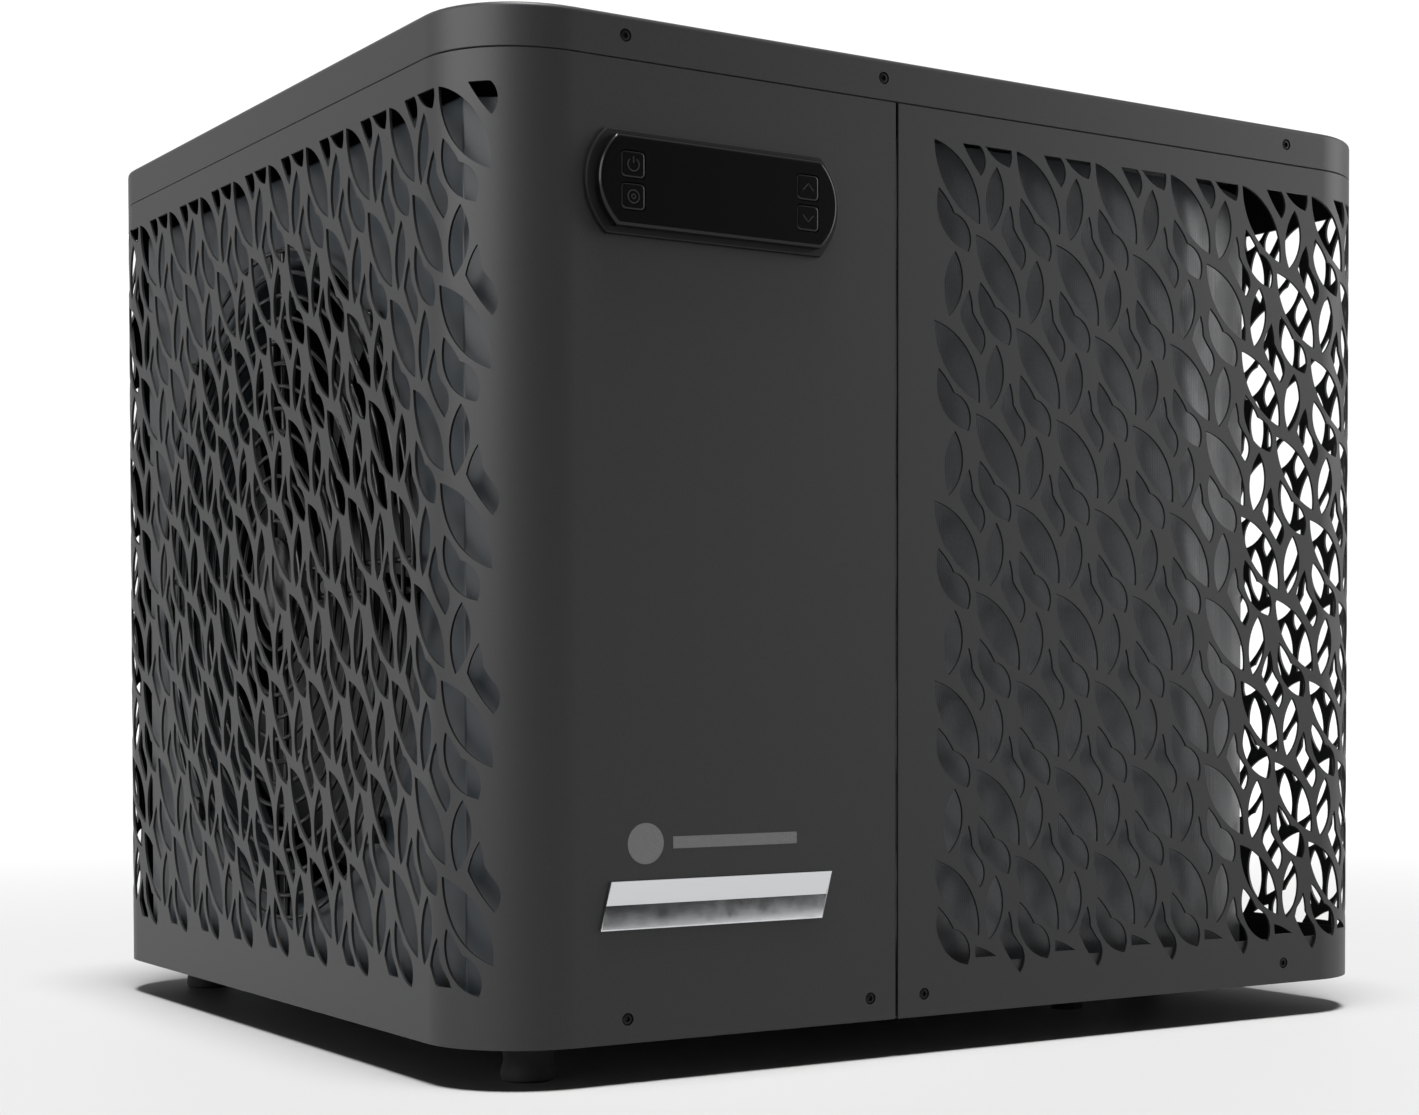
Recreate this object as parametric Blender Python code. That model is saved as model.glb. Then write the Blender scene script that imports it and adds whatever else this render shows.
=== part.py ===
"""Spa heat pump: a powder-coated sheet metal cabinet with a fan behind its left side, a finned coil
bent round its front right corner, and a compressor, a water heat exchanger and electrics inside.

Metres, +Z up. The origin is at the middle of the whole object's box, on the ground under the feet;
the control panel faces -Y. The shapes below are written in the cabinet's own frame, where x runs
from its left face, y back from its front face, and z up from its lower edge; place() moves them.
"""

import math

import bmesh
import bpy
from mathutils import Vector
from mathutils.geometry import delaunay_2d_cdt

# Cabinet
CASE_W, CASE_D, CASE_H = 0.506, 0.459, 0.420
CORNER_R = 0.045
SHEET = 0.0012
GAP = 0.0003
FOOT_H = 0.017
CORNER_STEPS = 6

# Sheet edges
SEAM_X = 0.2035
SEAM_GAP = 0.0015
REAR_RETURN = 0.025
FACE_TOP = 0.4015
TAB_INSET = 0.0016
STEP_H = 0.0005
TAB_TOP = 0.4165
LID_BOTTOM = 0.4021
RIM_INSET = SHEET + GAP
RIM_TOP = 0.022

# Leaf perforation: pitch across, pitch down, one leaf's tip, and what is left plain at a field's end
LEAF_PITCH, LEAF_DROP = 0.046, 0.07978
LEAF_OUTLINE = ((0, 0), (0.0070, -0.0216), (0.0252, -0.0352), (0.0194, -0.0127))
LEAF_ACROSS = 0.0252
FIELD_TOP, FIELD_BOTTOM = 0.3886, 0.0246
FRONT_FIELD = 0.1786
PLAIN_END = 0.031

# Screws, at x and z on the front
SCREW_HOLE_R, PILOT_R = 0.00265, 0.0019
LID_SCREWS = (0.0685, 0.1965, 0.4365)
LID_SCREW_Z = 0.4115
BASE_SCREWS = (0.0685, 0.1895, 0.2185, 0.4370)
BASE_SCREW_Z = 0.010

# Control panel
CONTROL_X, CONTROL_Z = 0.1102, 0.3515
CONTROL_PROUD = 0.0072
BEZEL = (0.0613, 0.0213)
FRONT_PLATE = (0.0575, 0.0186)
END_BULGE = 0.0095
OPENING = (0.0515, 0.0153)
KEY = 0.0109
KEY_SHIFT_X, KEY_SHIFT_Z = 0.0422, 0.00645

# Fan
FAN_Y, FAN_Z = 0.2295, 0.194
FAN_R = 0.1455
RING_R = 0.1495
GUARD_R = 0.158
BLADES = 5

# Coil, round the front right corner
COIL_FACE_Y, COIL_FACE_X = 0.018, 0.478
COIL_DEPTH = 0.026
COIL_BEND = 0.095
COIL_START_X, COIL_END_Y = 0.205, 0.436
COIL_TOP = 0.392
PAN_FLOOR = 0.0019

# Compressor, heat exchanger and water connections
PUMP_X, PUMP_Y, PUMP_R = 0.262, 0.330, 0.0575
TANK_X, TANK_Y, TANK_R = 0.397, 0.335, 0.050
WATER_Z = (0.075, 0.245)
WATER_BORE = 0.015
UNION_END = 0.501
UNION_PROUD = UNION_END - CASE_D

# Places under and behind the cabinet
DRAIN = (0.350, 0.062)
FEET = (
    ("foot_front_left", 0.041, 0.036),
    ("foot_rear_left", 0.041, 0.420),
    ("foot_front_right", 0.455, 0.128),
    ("foot_rear_right", 0.455, 0.420),
)
GLAND_X, GLAND_Z = 0.240, 0.360
ACCUMULATOR = (0.190, 0.412)

# Copper pipes: radius, and the places that each passes through
THICK_PIPE, THIN_PIPE = 0.0048, 0.0030
PIPES = {
    "discharge_pipe": (
        THICK_PIPE,
        ((0.262, 0.330, 0.2365), (0.262, 0.330, 0.256), (0.265, 0.341, 0.281), (0.275, 0.362, 0.290),
         (0.275, 0.3795, 0.290)),
    ),
    "suction_pipe": (
        THICK_PIPE,
        ((0.275, 0.400, 0.2655), (0.275, 0.400, 0.254), (0.262, 0.405, 0.240), (0.230, 0.410, 0.238),
         (0.203, 0.412, 0.230), (0.190, 0.412, 0.212), (0.190, 0.412, 0.2005)),
    ),
    "accumulator_pipe": (
        THICK_PIPE,
        ((0.190, 0.412, 0.0595), (0.190, 0.412, 0.048), (0.196, 0.405, 0.038), (0.214, 0.3846, 0.037),
         (0.2225, 0.3752, 0.037)),
    ),
    "exchanger_pipe": (
        THICK_PIPE,
        ((0.305, 0.400, 0.2655), (0.305, 0.400, 0.254), (0.320, 0.406, 0.242), (0.336, 0.400, 0.256),
         (0.342, 0.388, 0.288), (0.355, 0.364, 0.311), (0.380, 0.342, 0.316), (0.397, 0.335, 0.309),
         (0.397, 0.335, 0.3005)),
    ),
    "evaporator_pipe": (
        THICK_PIPE,
        ((0.245, 0.400, 0.2655), (0.245, 0.400, 0.257), (0.224, 0.389, 0.249), (0.201, 0.370, 0.252),
         (0.190, 0.338, 0.254), (0.187, 0.290, 0.254), (0.190, 0.200, 0.254), (0.200, 0.120, 0.254),
         (0.213, 0.072, 0.254), (0.214, 0.056, 0.254), (0.214, 0.0445, 0.254)),
    ),
    "liquid_pipe": (
        THIN_PIPE,
        ((0.397, 0.2842, 0.040), (0.397, 0.272, 0.040), (0.380, 0.247, 0.037), (0.350, 0.235, 0.037),
         (0.332, 0.235, 0.048), (0.330, 0.235, 0.0695)),
    ),
    "distributor_pipe": (
        THIN_PIPE,
        ((0.330, 0.2275, 0.172), (0.330, 0.212, 0.172), (0.322, 0.150, 0.150), (0.303, 0.090, 0.110),
         (0.300, 0.056, 0.100), (0.300, 0.0445, 0.100)),
    ),
}

LEFT = -CASE_W / 2
FRONT = (CONTROL_PROUD - CASE_D - UNION_PROUD) / 2


def place(x, y, z):
    """A point of the cabinet's frame, in the object's."""
    return Vector((LEFT + x, FRONT + y, FOOT_H + z))


def reset_scene():
    for thing in list(bpy.data.objects):
        bpy.data.objects.remove(thing, do_unlink=True)


def finish(name, colour, roughness, metallic=0.0):
    """A Principled material; colour is an sRGB hex value."""
    material = bpy.data.materials.new(name)
    material.use_nodes = True
    shader = material.node_tree.nodes["Principled BSDF"]
    parts = [int(colour[i : i + 2], 16) / 255 for i in (0, 2, 4)]
    linear = [c / 12.92 if c < 0.04045 else ((c + 0.055) / 1.055) ** 2.4 for c in parts]
    shader.inputs["Base Color"].default_value = (*linear, 1)
    shader.inputs["Roughness"].default_value = roughness
    shader.inputs["Metallic"].default_value = metallic
    return material


def add_object(name, points, faces, material, origin=(0, 0, 0), smooth=False):
    """An object from points in the cabinet's frame, with its own origin there too."""
    mesh = bpy.data.meshes.new(name)
    start = Vector(origin)
    mesh.from_pydata([Vector(point) - start for point in points], [], faces)
    shell = bmesh.new()
    shell.from_mesh(mesh)
    bmesh.ops.recalc_face_normals(shell, faces=shell.faces)
    shell.to_mesh(mesh)
    shell.free()
    mesh.materials.append(material)
    if smooth:
        mesh.shade_smooth()
        mesh.set_sharp_from_angle(angle=math.radians(35))
    thing = bpy.data.objects.new(name, mesh)
    thing.location = place(*origin)
    bpy.context.collection.objects.link(thing)
    return thing


def stacked(name, rings, material, origin=(0, 0, 0), loop=False, smooth=False, thin=False):
    """A body from rings of points, each joined to the next; its ends are capped, or joined if loop.

    A thin ring doubles back on itself. Its two sides are split along the same diagonals, so that they
    can't cross, and its ends are capped by a row of four-sided faces between them.
    """
    count = len(rings[0])
    points = [point for ring in rings for point in ring]
    faces = []
    for i in range(len(rings) if loop else len(rings) - 1):
        low, high = i * count, (i + 1) % len(rings) * count
        for j in range(count):
            k = (j + 1) % count
            a, b, c, d = low + j, low + k, high + k, high + j
            if not thin:
                faces.append((a, b, c, d))
            elif j < count // 2:
                faces += [(a, b, c), (a, c, d)]
            else:
                faces += [(a, b, d), (b, c, d)]
    for first in () if loop else (0, (len(rings) - 1) * count):
        if thin:
            last = first + count - 1
            faces += [(first + j, first + j + 1, last - j - 1, last - j) for j in range(count // 2 - 1)]
        else:
            faces.append(tuple(range(first, first + count)))
    return add_object(name, points, faces, material, origin, smooth)


def along_axis(axis, across, up, height):
    """A point `height` along an axis, with two more coordinates in the order of the other two axes."""
    return {"X": (height, across, up), "Y": (across, height, up), "Z": (across, up, height)}[axis]


def prism(name, outline, low, high, material, axis="Z", origin=(0, 0, 0)):
    rings = [[along_axis(axis, a, b, height) for a, b in outline] for height in (low, high)]
    return stacked(name, rings, material, origin)


def box(name, low, high, material, bevel=0.0):
    outline = ((low[0], low[1]), (high[0], low[1]), (high[0], high[1]), (low[0], high[1]))
    middle = [(a + b) / 2 for a, b in zip(low, high)]
    thing = prism(name, outline, low[2], high[2], material, origin=middle)
    if bevel:
        rounding = thing.modifiers.new("edges", "BEVEL")
        rounding.width = bevel
        rounding.segments = 1
    return thing


def turned(name, profile, material, centre, axis="Z", sides=24, loop=False):
    """A turned body: profile is (radius, height) pairs, about an axis through `centre`.

    A closed profile (loop) makes a ring. An open one is capped with a disc at each end.
    """
    rings = []
    for radius, height in profile:
        turns = [2 * math.pi * (i + 0.5) / sides for i in range(sides)]
        rings.append(
            [
                along_axis(axis, centre[0] + radius * math.cos(t), centre[1] + radius * math.sin(t), height)
                for t in turns
            ]
        )
    origin = along_axis(axis, *centre, profile[0][1])
    return stacked(name, rings, material, origin, loop, smooth=True)


def hide(thing):
    thing.hide_render = True
    thing.display_type = "WIRE"


def combine(thing, others, operation):
    for other in others:
        boolean = thing.modifiers.new(other.name, "BOOLEAN")
        boolean.operation = operation
        boolean.object = other
        hide(other)


def cut(thing, *cutters):
    combine(thing, cutters, "DIFFERENCE")


def join(thing, *others):
    combine(thing, others, "UNION")


def drill(thing, x, z, radius, low, high, sides=12):
    """Cuts a round hole along Y."""
    cut(thing, turned("drill", [(radius, low), (radius, high)], POWDER_COAT, (x, z), "Y", sides))


def polygon(x, z, radius, sides):
    """A round hole's outline."""
    turns = [2 * math.pi * i / sides for i in range(sides)]
    return [(x + radius * math.cos(t), z + radius * math.sin(t)) for t in turns]


FLATS = (CASE_W - 2 * CORNER_R, CASE_D - 2 * CORNER_R) * 2
ARC = math.pi / 2 * CORNER_R
REAR_START = FLATS[0] + FLATS[1] + 2 * ARC


def outline_point(along, inset):
    """x and y on the casing's rounded outline, moved in by `inset`.

    `along` runs to the right from the end of the front left corner, round the whole outline.
    """
    along %= sum(FLATS) + 4 * ARC
    start = Vector((CORNER_R, 0))
    for side, flat in enumerate(FLATS):
        heading = side * math.pi / 2
        forward = Vector((math.cos(heading), math.sin(heading)))
        inward = Vector((-forward.y, forward.x))
        if along <= flat:
            return start + forward * along + inward * inset
        start += forward * flat
        along -= flat
        centre = start + inward * CORNER_R
        if along < ARC:
            turn = heading + along / CORNER_R
            return centre + Vector((math.sin(turn), -math.cos(turn))) * (CORNER_R - inset)
        start = centre + forward * CORNER_R
        along -= ARC
    return start


def bend_lines():
    """Where the facets of the four corners meet, along the outline."""
    lines = []
    along = 0
    for flat in FLATS:
        along += flat
        lines += [along + ARC * i / CORNER_STEPS for i in range(CORNER_STEPS + 1)]
        along += ARC
    return lines


def outline_ring(inset, z):
    """The casing's outline as a ring of points."""
    return [(*outline_point(along, inset), z) for along in bend_lines()]


def sheet_with_holes(outline, holes, lines):
    """Triangles of a flat sheet: its outline, its holes, and straight lines its triangles keep to."""
    points = [Vector(point) for point in outline]
    loops = [list(range(len(outline)))]
    for hole in holes:
        loops.append(list(range(len(points), len(points) + len(hole))))
        points += [Vector(point) for point in hole]
    edges = []
    for ends in lines:
        edges.append((len(points), len(points) + 1))
        points += [Vector(end) for end in ends]
    found = delaunay_2d_cdt(points, edges, loops, 1, 1e-7, True)
    kept = [face for face, inside in zip(found[2], found[5]) if inside == [0]]
    return found[0], kept


def thick_sheet(name, points, faces, outer, inner, material):
    """A sheet's triangles given a thickness: outer and inner place a flat point on its two faces."""
    count = len(points)
    sides = {}
    for face in faces:
        for a, b in zip(face, face[1:] + face[:1]):
            sides[(a, b)] = sides.get((a, b), 0) + 1
    edge = [(a, b) for a, b in sides if (b, a) not in sides]
    every = [outer(point) for point in points] + [inner(point) for point in points]
    walls = [tuple(face) for face in faces]
    walls += [tuple(i + count for i in reversed(face)) for face in faces]
    walls += [(b, a, a + count, b + count) for a, b in edge]
    used = sorted({i for face in walls for i in face})
    new = {old: i for i, old in enumerate(used)}
    return add_object(name, [every[i] for i in used], [[new[i] for i in face] for face in walls], material)


def face_inset(z):
    """How far the sheet's outer face is set in: its top steps in to a tab behind the lid's skirt."""
    return TAB_INSET * min(max((z - FACE_TOP) / STEP_H, 0), 1)


def wrapped_sheet(name, start, end, holes, material):
    """One bent sheet of the casing, between two distances along its outline."""
    outline = ((start, 0), (end, 0), (end, TAB_TOP), (start, TAB_TOP))
    whole = sum(FLATS) + 4 * ARC
    bends = [line + turn for line in bend_lines() for turn in (-whole, 0) if start < line + turn < end]
    lines = [((line, 0), (line, TAB_TOP)) for line in bends]
    lines += [((start, z), (end, z)) for z in (FACE_TOP, FACE_TOP + STEP_H)]
    points, faces = sheet_with_holes(outline, holes, lines)

    def outer(point):
        return (*outline_point(point.x, face_inset(point.y)), point.y)

    def inner(point):
        return (*outline_point(point.x, face_inset(point.y) + SHEET), point.y)

    return thick_sheet(name, points, faces, outer, inner, material)


def leaf_holes(first, start, end):
    """Slanted leaf-shaped holes on a centred lattice, whole ones only between start and end."""
    holes = []
    for half_row in range(10):
        tip_z = FIELD_TOP - LEAF_DROP / 2 * half_row
        if tip_z + LEAF_OUTLINE[2][1] < FIELD_BOTTOM:
            continue
        for column in range(-12, 20):
            tip_s = first + LEAF_PITCH * (column + half_row % 2 / 2)
            if tip_s >= start and tip_s + LEAF_ACROSS <= end:
                holes.append([(tip_s + x, tip_z + z) for x, z in LEAF_OUTLINE])
    return holes


def screw_holes(places, z, radius, sides):
    return [polygon(x - CORNER_R, z, radius, sides) for x in places]


def make_panels():
    seam = SEAM_X - CORNER_R
    rear_left = -(2 * ARC + FLATS[1])
    x0, z0 = CONTROL_X - CORNER_R, CONTROL_Z
    opening = [
        (x0 + a * (OPENING[0] + 2 * GAP), z0 + b * (OPENING[1] + 2 * GAP))
        for a, b in ((-1, -1), (1, -1), (1, 1), (-1, 1))
    ]
    left_holes = leaf_holes(FRONT_FIELD, rear_left + PLAIN_END, -PLAIN_END)
    left_holes += [opening]
    left_holes += screw_holes(BASE_SCREWS[:2], BASE_SCREW_Z, SCREW_HOLE_R, 10)
    left_holes += screw_holes(LID_SCREWS[:2], LID_SCREW_Z, PILOT_R, 8)
    wrapped_sheet(
        "left_wrap_panel", rear_left - REAR_RETURN, seam - SEAM_GAP / 2, left_holes, POWDER_COAT
    )
    right_holes = leaf_holes(FRONT_FIELD, FRONT_FIELD - GAP, REAR_START - PLAIN_END)
    right_holes += screw_holes(BASE_SCREWS[2:], BASE_SCREW_Z, SCREW_HOLE_R, 10)
    right_holes += screw_holes(LID_SCREWS[2:], LID_SCREW_Z, PILOT_R, 8)
    wrapped_sheet(
        "right_wrap_panel", seam + SEAM_GAP / 2, REAR_START + REAR_RETURN, right_holes, POWDER_COAT
    )
    rear_x = REAR_START + CASE_W - CORNER_R
    rear_holes = [polygon(rear_x - TANK_X, z, 0.0215, 16) for z in WATER_Z]
    rear_holes.append(polygon(rear_x - GLAND_X, GLAND_Z, 0.0085, 12))
    edge = REAR_RETURN + SEAM_GAP
    wrapped_sheet(
        "rear_panel", REAR_START + edge, REAR_START + FLATS[0] - edge, rear_holes, POWDER_COAT
    )


def make_lid():
    rings = [
        outline_ring(0.0020, CASE_H),
        outline_ring(0.0006, CASE_H - 0.0005),
        outline_ring(0, CASE_H - 0.0020),
        outline_ring(0, LID_BOTTOM),
        outline_ring(SHEET, LID_BOTTOM),
        outline_ring(SHEET, CASE_H - SHEET),
    ]
    lid = stacked("top_lid", rings, POWDER_COAT, (CASE_W / 2, CASE_D / 2, CASE_H), smooth=True)
    for x in LID_SCREWS:
        drill(lid, x, LID_SCREW_Z, SCREW_HOLE_R, -0.004, 0.004, 10)


def make_base():
    rings = [
        outline_ring(RIM_INSET + SHEET, 0),
        outline_ring(RIM_INSET, SHEET),
        outline_ring(RIM_INSET, RIM_TOP),
        outline_ring(RIM_INSET + SHEET, RIM_TOP),
        outline_ring(RIM_INSET + SHEET, PAN_FLOOR - GAP),
    ]
    pan = stacked("base_pan", rings, GALVANISED, (CASE_W / 2, CASE_D / 2, 0), smooth=True)
    for x in BASE_SCREWS:
        drill(pan, x, BASE_SCREW_Z, PILOT_R, -0.004, 0.006, 8)
    cut(pan, turned("drain_hole", [(0.0055, -0.01), (0.0055, 0.01)], GALVANISED, DRAIN, "Z", 16))
    drain = [(0.0045, -GAP), (0.0095, -GAP), (0.0092, -0.004), (0.0078, -0.0125), (0.0045, -0.0125)]
    turned("drain_nozzle", drain, BLACK_PLASTIC, DRAIN, sides=16, loop=True)
    foot = [(0.0105, -GAP), (0.0105, -0.010), (0.0115, -0.0155), (0.0108, -FOOT_H)]
    for name, x, y in FEET:
        turned(name, foot, RUBBER, (x, y), sides=20)


def make_screws():
    head = [(0.0021, 0.0002), (0.0023, 0.0004), (0.0023, 0.0011), (0.0013, 0.0011), (0.0013, 0.009)]
    places = [(x, LID_SCREW_Z) for x in LID_SCREWS] + [(x, BASE_SCREW_Z) for x in BASE_SCREWS]
    for i, at in enumerate(places):
        group = "lid_screw" if i < len(LID_SCREWS) else "base_screw"
        number = i + 1 if i < len(LID_SCREWS) else i + 1 - len(LID_SCREWS)
        turned(f"{group}_{number}", head, BLACK_ZINC, at, "Y", 10)


def bulged(half_x, half_z, steps=6):
    """The control panel's outline: straight above and below, with ends that bulge out."""
    bulge = END_BULGE * half_z / BEZEL[1]
    radius = (half_z**2 + bulge**2) / (2 * bulge)
    spread = math.asin(half_z / radius)
    right = []
    for i in range(steps + 1):
        turn = -spread + 2 * spread * i / steps
        right.append((half_x - radius + radius * math.cos(turn), radius * math.sin(turn)))
    left = [(-x, -z) for x, z in right]
    return [(CONTROL_X + x, CONTROL_Z + z) for x, z in right + left]


def make_control_panel():
    x, z = CONTROL_X, CONTROL_Z
    half_x, half_z = OPENING
    origin = (x, 0, z)
    housing = prism("control_housing", bulged(*BEZEL), -0.0025, -GAP, BLACK_PLASTIC, "Y", origin)
    plug = box("plug", (x - half_x, -0.0010, z - half_z), (x + half_x, 0.016, z + half_z), BLACK_PLASTIC)
    join(housing, plug)
    wall = 0.0015
    low = (x - half_x + wall, -0.006, z - half_z + wall)
    cut(housing, box("cavity", low, (x + half_x - wall, 0.0145, z + half_z - wall), BLACK_PLASTIC))
    plate = prism("control_plate", bulged(*FRONT_PLATE), -0.0070, -0.0028, GLOSS_BLACK, "Y", origin)
    rounding = plate.modifiers.new("edges", "BEVEL")
    rounding.width = 0.0008
    rounding.segments = 1
    board_low = (x - half_x + 0.003, 0.0056, z - half_z + 0.003)
    box("control_board", board_low, (x + half_x - 0.003, 0.0072, z + half_z - 0.003), CIRCUIT)
    names = (("left_upper", -1, 1), ("left_lower", -1, -1), ("right_upper", 1, 1), ("right_lower", 1, -1))
    for name, side, level in names:
        make_key(f"key_{name}", plate, x + side * KEY_SHIFT_X, z + level * KEY_SHIFT_Z)


def make_key(name, plate, x, z):
    """A square key: its cap in the plate's opening, a rim that keeps it in, and a stem to its switch."""
    opening = KEY / 2 + GAP
    low, high = (x - opening, -0.01, z - opening), (x + opening, 0, z + opening)
    cut(plate, box("key_hole", low, high, GLOSS_BLACK))
    half = KEY / 2
    rim = 0.0061
    levels = [(half, -CONTROL_PROUD), (half, -0.0020), (rim, -0.0020), (rim, -0.0008), (0.002, -0.0008)]
    levels.append((0.002, 0.0045))
    corners = ((-1, -1), (1, -1), (1, 1), (-1, 1))
    rings = [[(x + a * size, y, z + b * size) for a, b in corners] for size, y in levels]
    stacked(name, rings, GLOSS_BLACK, (x, 0, z))


def make_nameplate():
    lean = 0.005
    outline = ((0.055, 0.047), (0.163, 0.047), (0.163 + lean, 0.067), (0.055 + lean, 0.067))
    prism("nameplate", outline, -0.0021, -GAP, CHROME, "Y", (0.1115, 0, 0.057))


def make_shroud():
    low, high = (0.012, 0.033, 0.004), (0.042, CASE_D - 0.033, 0.398)
    shroud = box("fan_shroud", low, high, SHROUD_STEEL)
    inside = box(
        "shroud_inside",
        (low[0] + SHEET, low[1] + SHEET, low[2] + SHEET),
        (high[0] + 0.01, high[1] - SHEET, high[2] - SHEET),
        SHROUD_STEEL,
    )
    centre = (FAN_Y, FAN_Z)
    opening = turned("shroud_opening", [(0.1505, 0), (0.1505, 0.03)], SHROUD_STEEL, centre, "X", 40)
    collar = [(RING_R, 0.0122), (0.1514, 0.0122), (0.1514, 0.040), (RING_R, 0.040)]
    cut(shroud, inside, opening)
    join(shroud, turned("shroud_collar", collar, SHROUD_STEEL, centre, "X", 40, loop=True))


def make_guard():
    """The wire guard: rings and a cross of spokes, one flat grille here."""
    bar, spoke, rings = 0.0028, 0.006, 6
    pitch = (GUARD_R - 0.030) / rings
    slots = []
    for i in range(rings):
        outer = GUARD_R - bar - i * pitch
        inner = outer - pitch + bar
        for quarter in range(4):
            turns = []
            for radius, way in ((outer, 1), (inner, -1)):
                edge = math.asin(spoke / radius)
                steps = 3 + round(radius / 0.04)
                span = math.pi / 2 - 2 * edge
                stops = [edge + span * j / steps for j in range(steps + 1)]
                turns += [(radius, turn + quarter * math.pi / 2) for turn in stops[::way]]
            slots.append([(FAN_Y + r * math.cos(t), FAN_Z + r * math.sin(t)) for r, t in turns])
    points, faces = sheet_with_holes(polygon(FAN_Y, FAN_Z, GUARD_R, 40), slots, [])
    guard = thick_sheet(
        "fan_guard", points, faces, lambda p: (0.0055, p.x, p.y), lambda p: (0.0085, p.x, p.y), BLACK_WIRE
    )
    for i in range(4):
        turn = math.pi / 4 + i * math.pi / 2
        at = (FAN_Y + 0.1555 * math.cos(turn), FAN_Z + 0.1555 * math.sin(turn))
        join(guard, turned("guard_lug", [(0.0050, 0.0070), (0.0050, 0.0117)], BLACK_WIRE, at, "X", 8))


def blade_rings(start):
    """One blade as rings of points from its root to its tip: each ring goes round the blade's section."""
    rings = []
    for i in range(5):
        share = i / 4
        radius = 0.032 + share * (FAN_R - 0.032)
        chord = math.radians(64 - 10 * share)
        depth = 0.044 - 0.010 * share
        sweep = math.radians(20) * share**2
        ring = []
        for side, stops in ((-0.001, range(5)), (0.001, range(4, -1, -1))):
            for j in stops:
                v = j / 4 - 0.5
                turn = start + sweep + v * chord
                x = 0.052 - v * depth + 0.006 * (4 * v * v - 1) + side
                ring.append((x, FAN_Y + radius * math.cos(turn), FAN_Z + radius * math.sin(turn)))
        rings.append(ring)
    return rings


def make_fan():
    centre = (FAN_Y, FAN_Z)
    bore = 0.0046
    hub = [(0.028, 0.040), (0.036, 0.047), (0.036, 0.080)]
    impeller = turned("fan_impeller", hub, FAN_PLASTIC, centre, "X", 20)
    for i in range(BLADES):
        blade = stacked("blade", blade_rings(2 * math.pi * i / BLADES), FAN_PLASTIC, thin=True)
        join(impeller, blade)
    cut(impeller, turned("hub_bore", [(bore, 0.03), (bore, 0.09)], FAN_PLASTIC, centre, "X", 16))
    turned("motor_shaft", [(0.004, 0.030), (0.004, 0.118)], STEEL, centre, "X", 12)
    nut = [(0.0050, 0.0340), (0.0090, 0.0340), (0.0090, 0.0397), (0.0050, 0.0397)]
    turned("shaft_nut", nut, STEEL, centre, "X", 6, loop=True)
    motor = [(0.0045, 0.120), (0.0045, 0.092), (0.012, 0.092), (0.014, 0.098), (0.040, 0.099)]
    motor += [(0.046, 0.105), (0.046, 0.156), (0.040, 0.162)]
    turned("fan_motor", motor, BLACK_STEEL, centre, "X")
    x0, x1, wall = 0.1623, 0.1750, 0.0015
    near = FAN_Y - 0.030
    channel = [(x0, near), (x1, near), (x1, near + wall), (x0 + wall, near + wall)]
    channel += [(x, 2 * FAN_Y - y) for x, y in reversed(channel)]
    prism("motor_bracket", channel, PAN_FLOOR, 0.3965, GALVANISED)


def make_coil():
    """The finned coil, bent in an L round the front right corner."""
    centre = (COIL_FACE_X - COIL_BEND, COIL_FACE_Y + COIL_BEND)
    steps = 8

    def arc(radius):
        turns = [math.pi / 2 * i / steps for i in range(steps + 1)]
        return [(centre[0] + radius * math.sin(t), centre[1] - radius * math.cos(t)) for t in turns]

    inner = COIL_BEND - COIL_DEPTH
    outline = [(COIL_START_X, COIL_FACE_Y), *arc(COIL_BEND), (COIL_FACE_X, COIL_END_Y)]
    outline += [(COIL_FACE_X - COIL_DEPTH, COIL_END_Y), *reversed(arc(inner))]
    outline += [(COIL_START_X, COIL_FACE_Y + COIL_DEPTH)]
    prism("evaporator_coil", outline, PAN_FLOOR, COIL_TOP, COIL_ALUMINIUM)


def make_compressor():
    centre = (PUMP_X, PUMP_Y)
    shell = [(0.072, 0.0202), (0.072, 0.0226), (0.050, 0.0226), (PUMP_R, 0.034), (PUMP_R, 0.205)]
    shell += [(0.052, 0.222), (0.030, 0.233), (0.006, 0.236)]
    turned("compressor", shell, BLACK_STEEL, centre, sides=28)
    front = PUMP_Y - PUMP_R
    low, high = (PUMP_X - 0.022, front - 0.020, 0.150), (PUMP_X + 0.022, front - GAP, 0.200)
    box("compressor_terminal_cover", low, high, BLACK_PLASTIC, bevel=0.003)
    for i in range(3):
        turn = math.pi / 2 + i * 2 * math.pi / 3
        at = (PUMP_X + 0.060 * math.cos(turn), PUMP_Y + 0.060 * math.sin(turn))
        grommet = [(0.011, PAN_FLOOR), (0.011, 0.007), (0.009, 0.009), (0.011, 0.011), (0.011, 0.0199)]
        turned(f"compressor_grommet_{i + 1}", grommet, RUBBER, at, sides=12)
    flask = [(0.008, 0.060), (0.020, 0.064), (0.025, 0.074), (0.025, 0.186), (0.020, 0.196), (0.008, 0.200)]
    turned("suction_accumulator", flask, BLACK_STEEL, ACCUMULATOR, sides=20)


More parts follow.
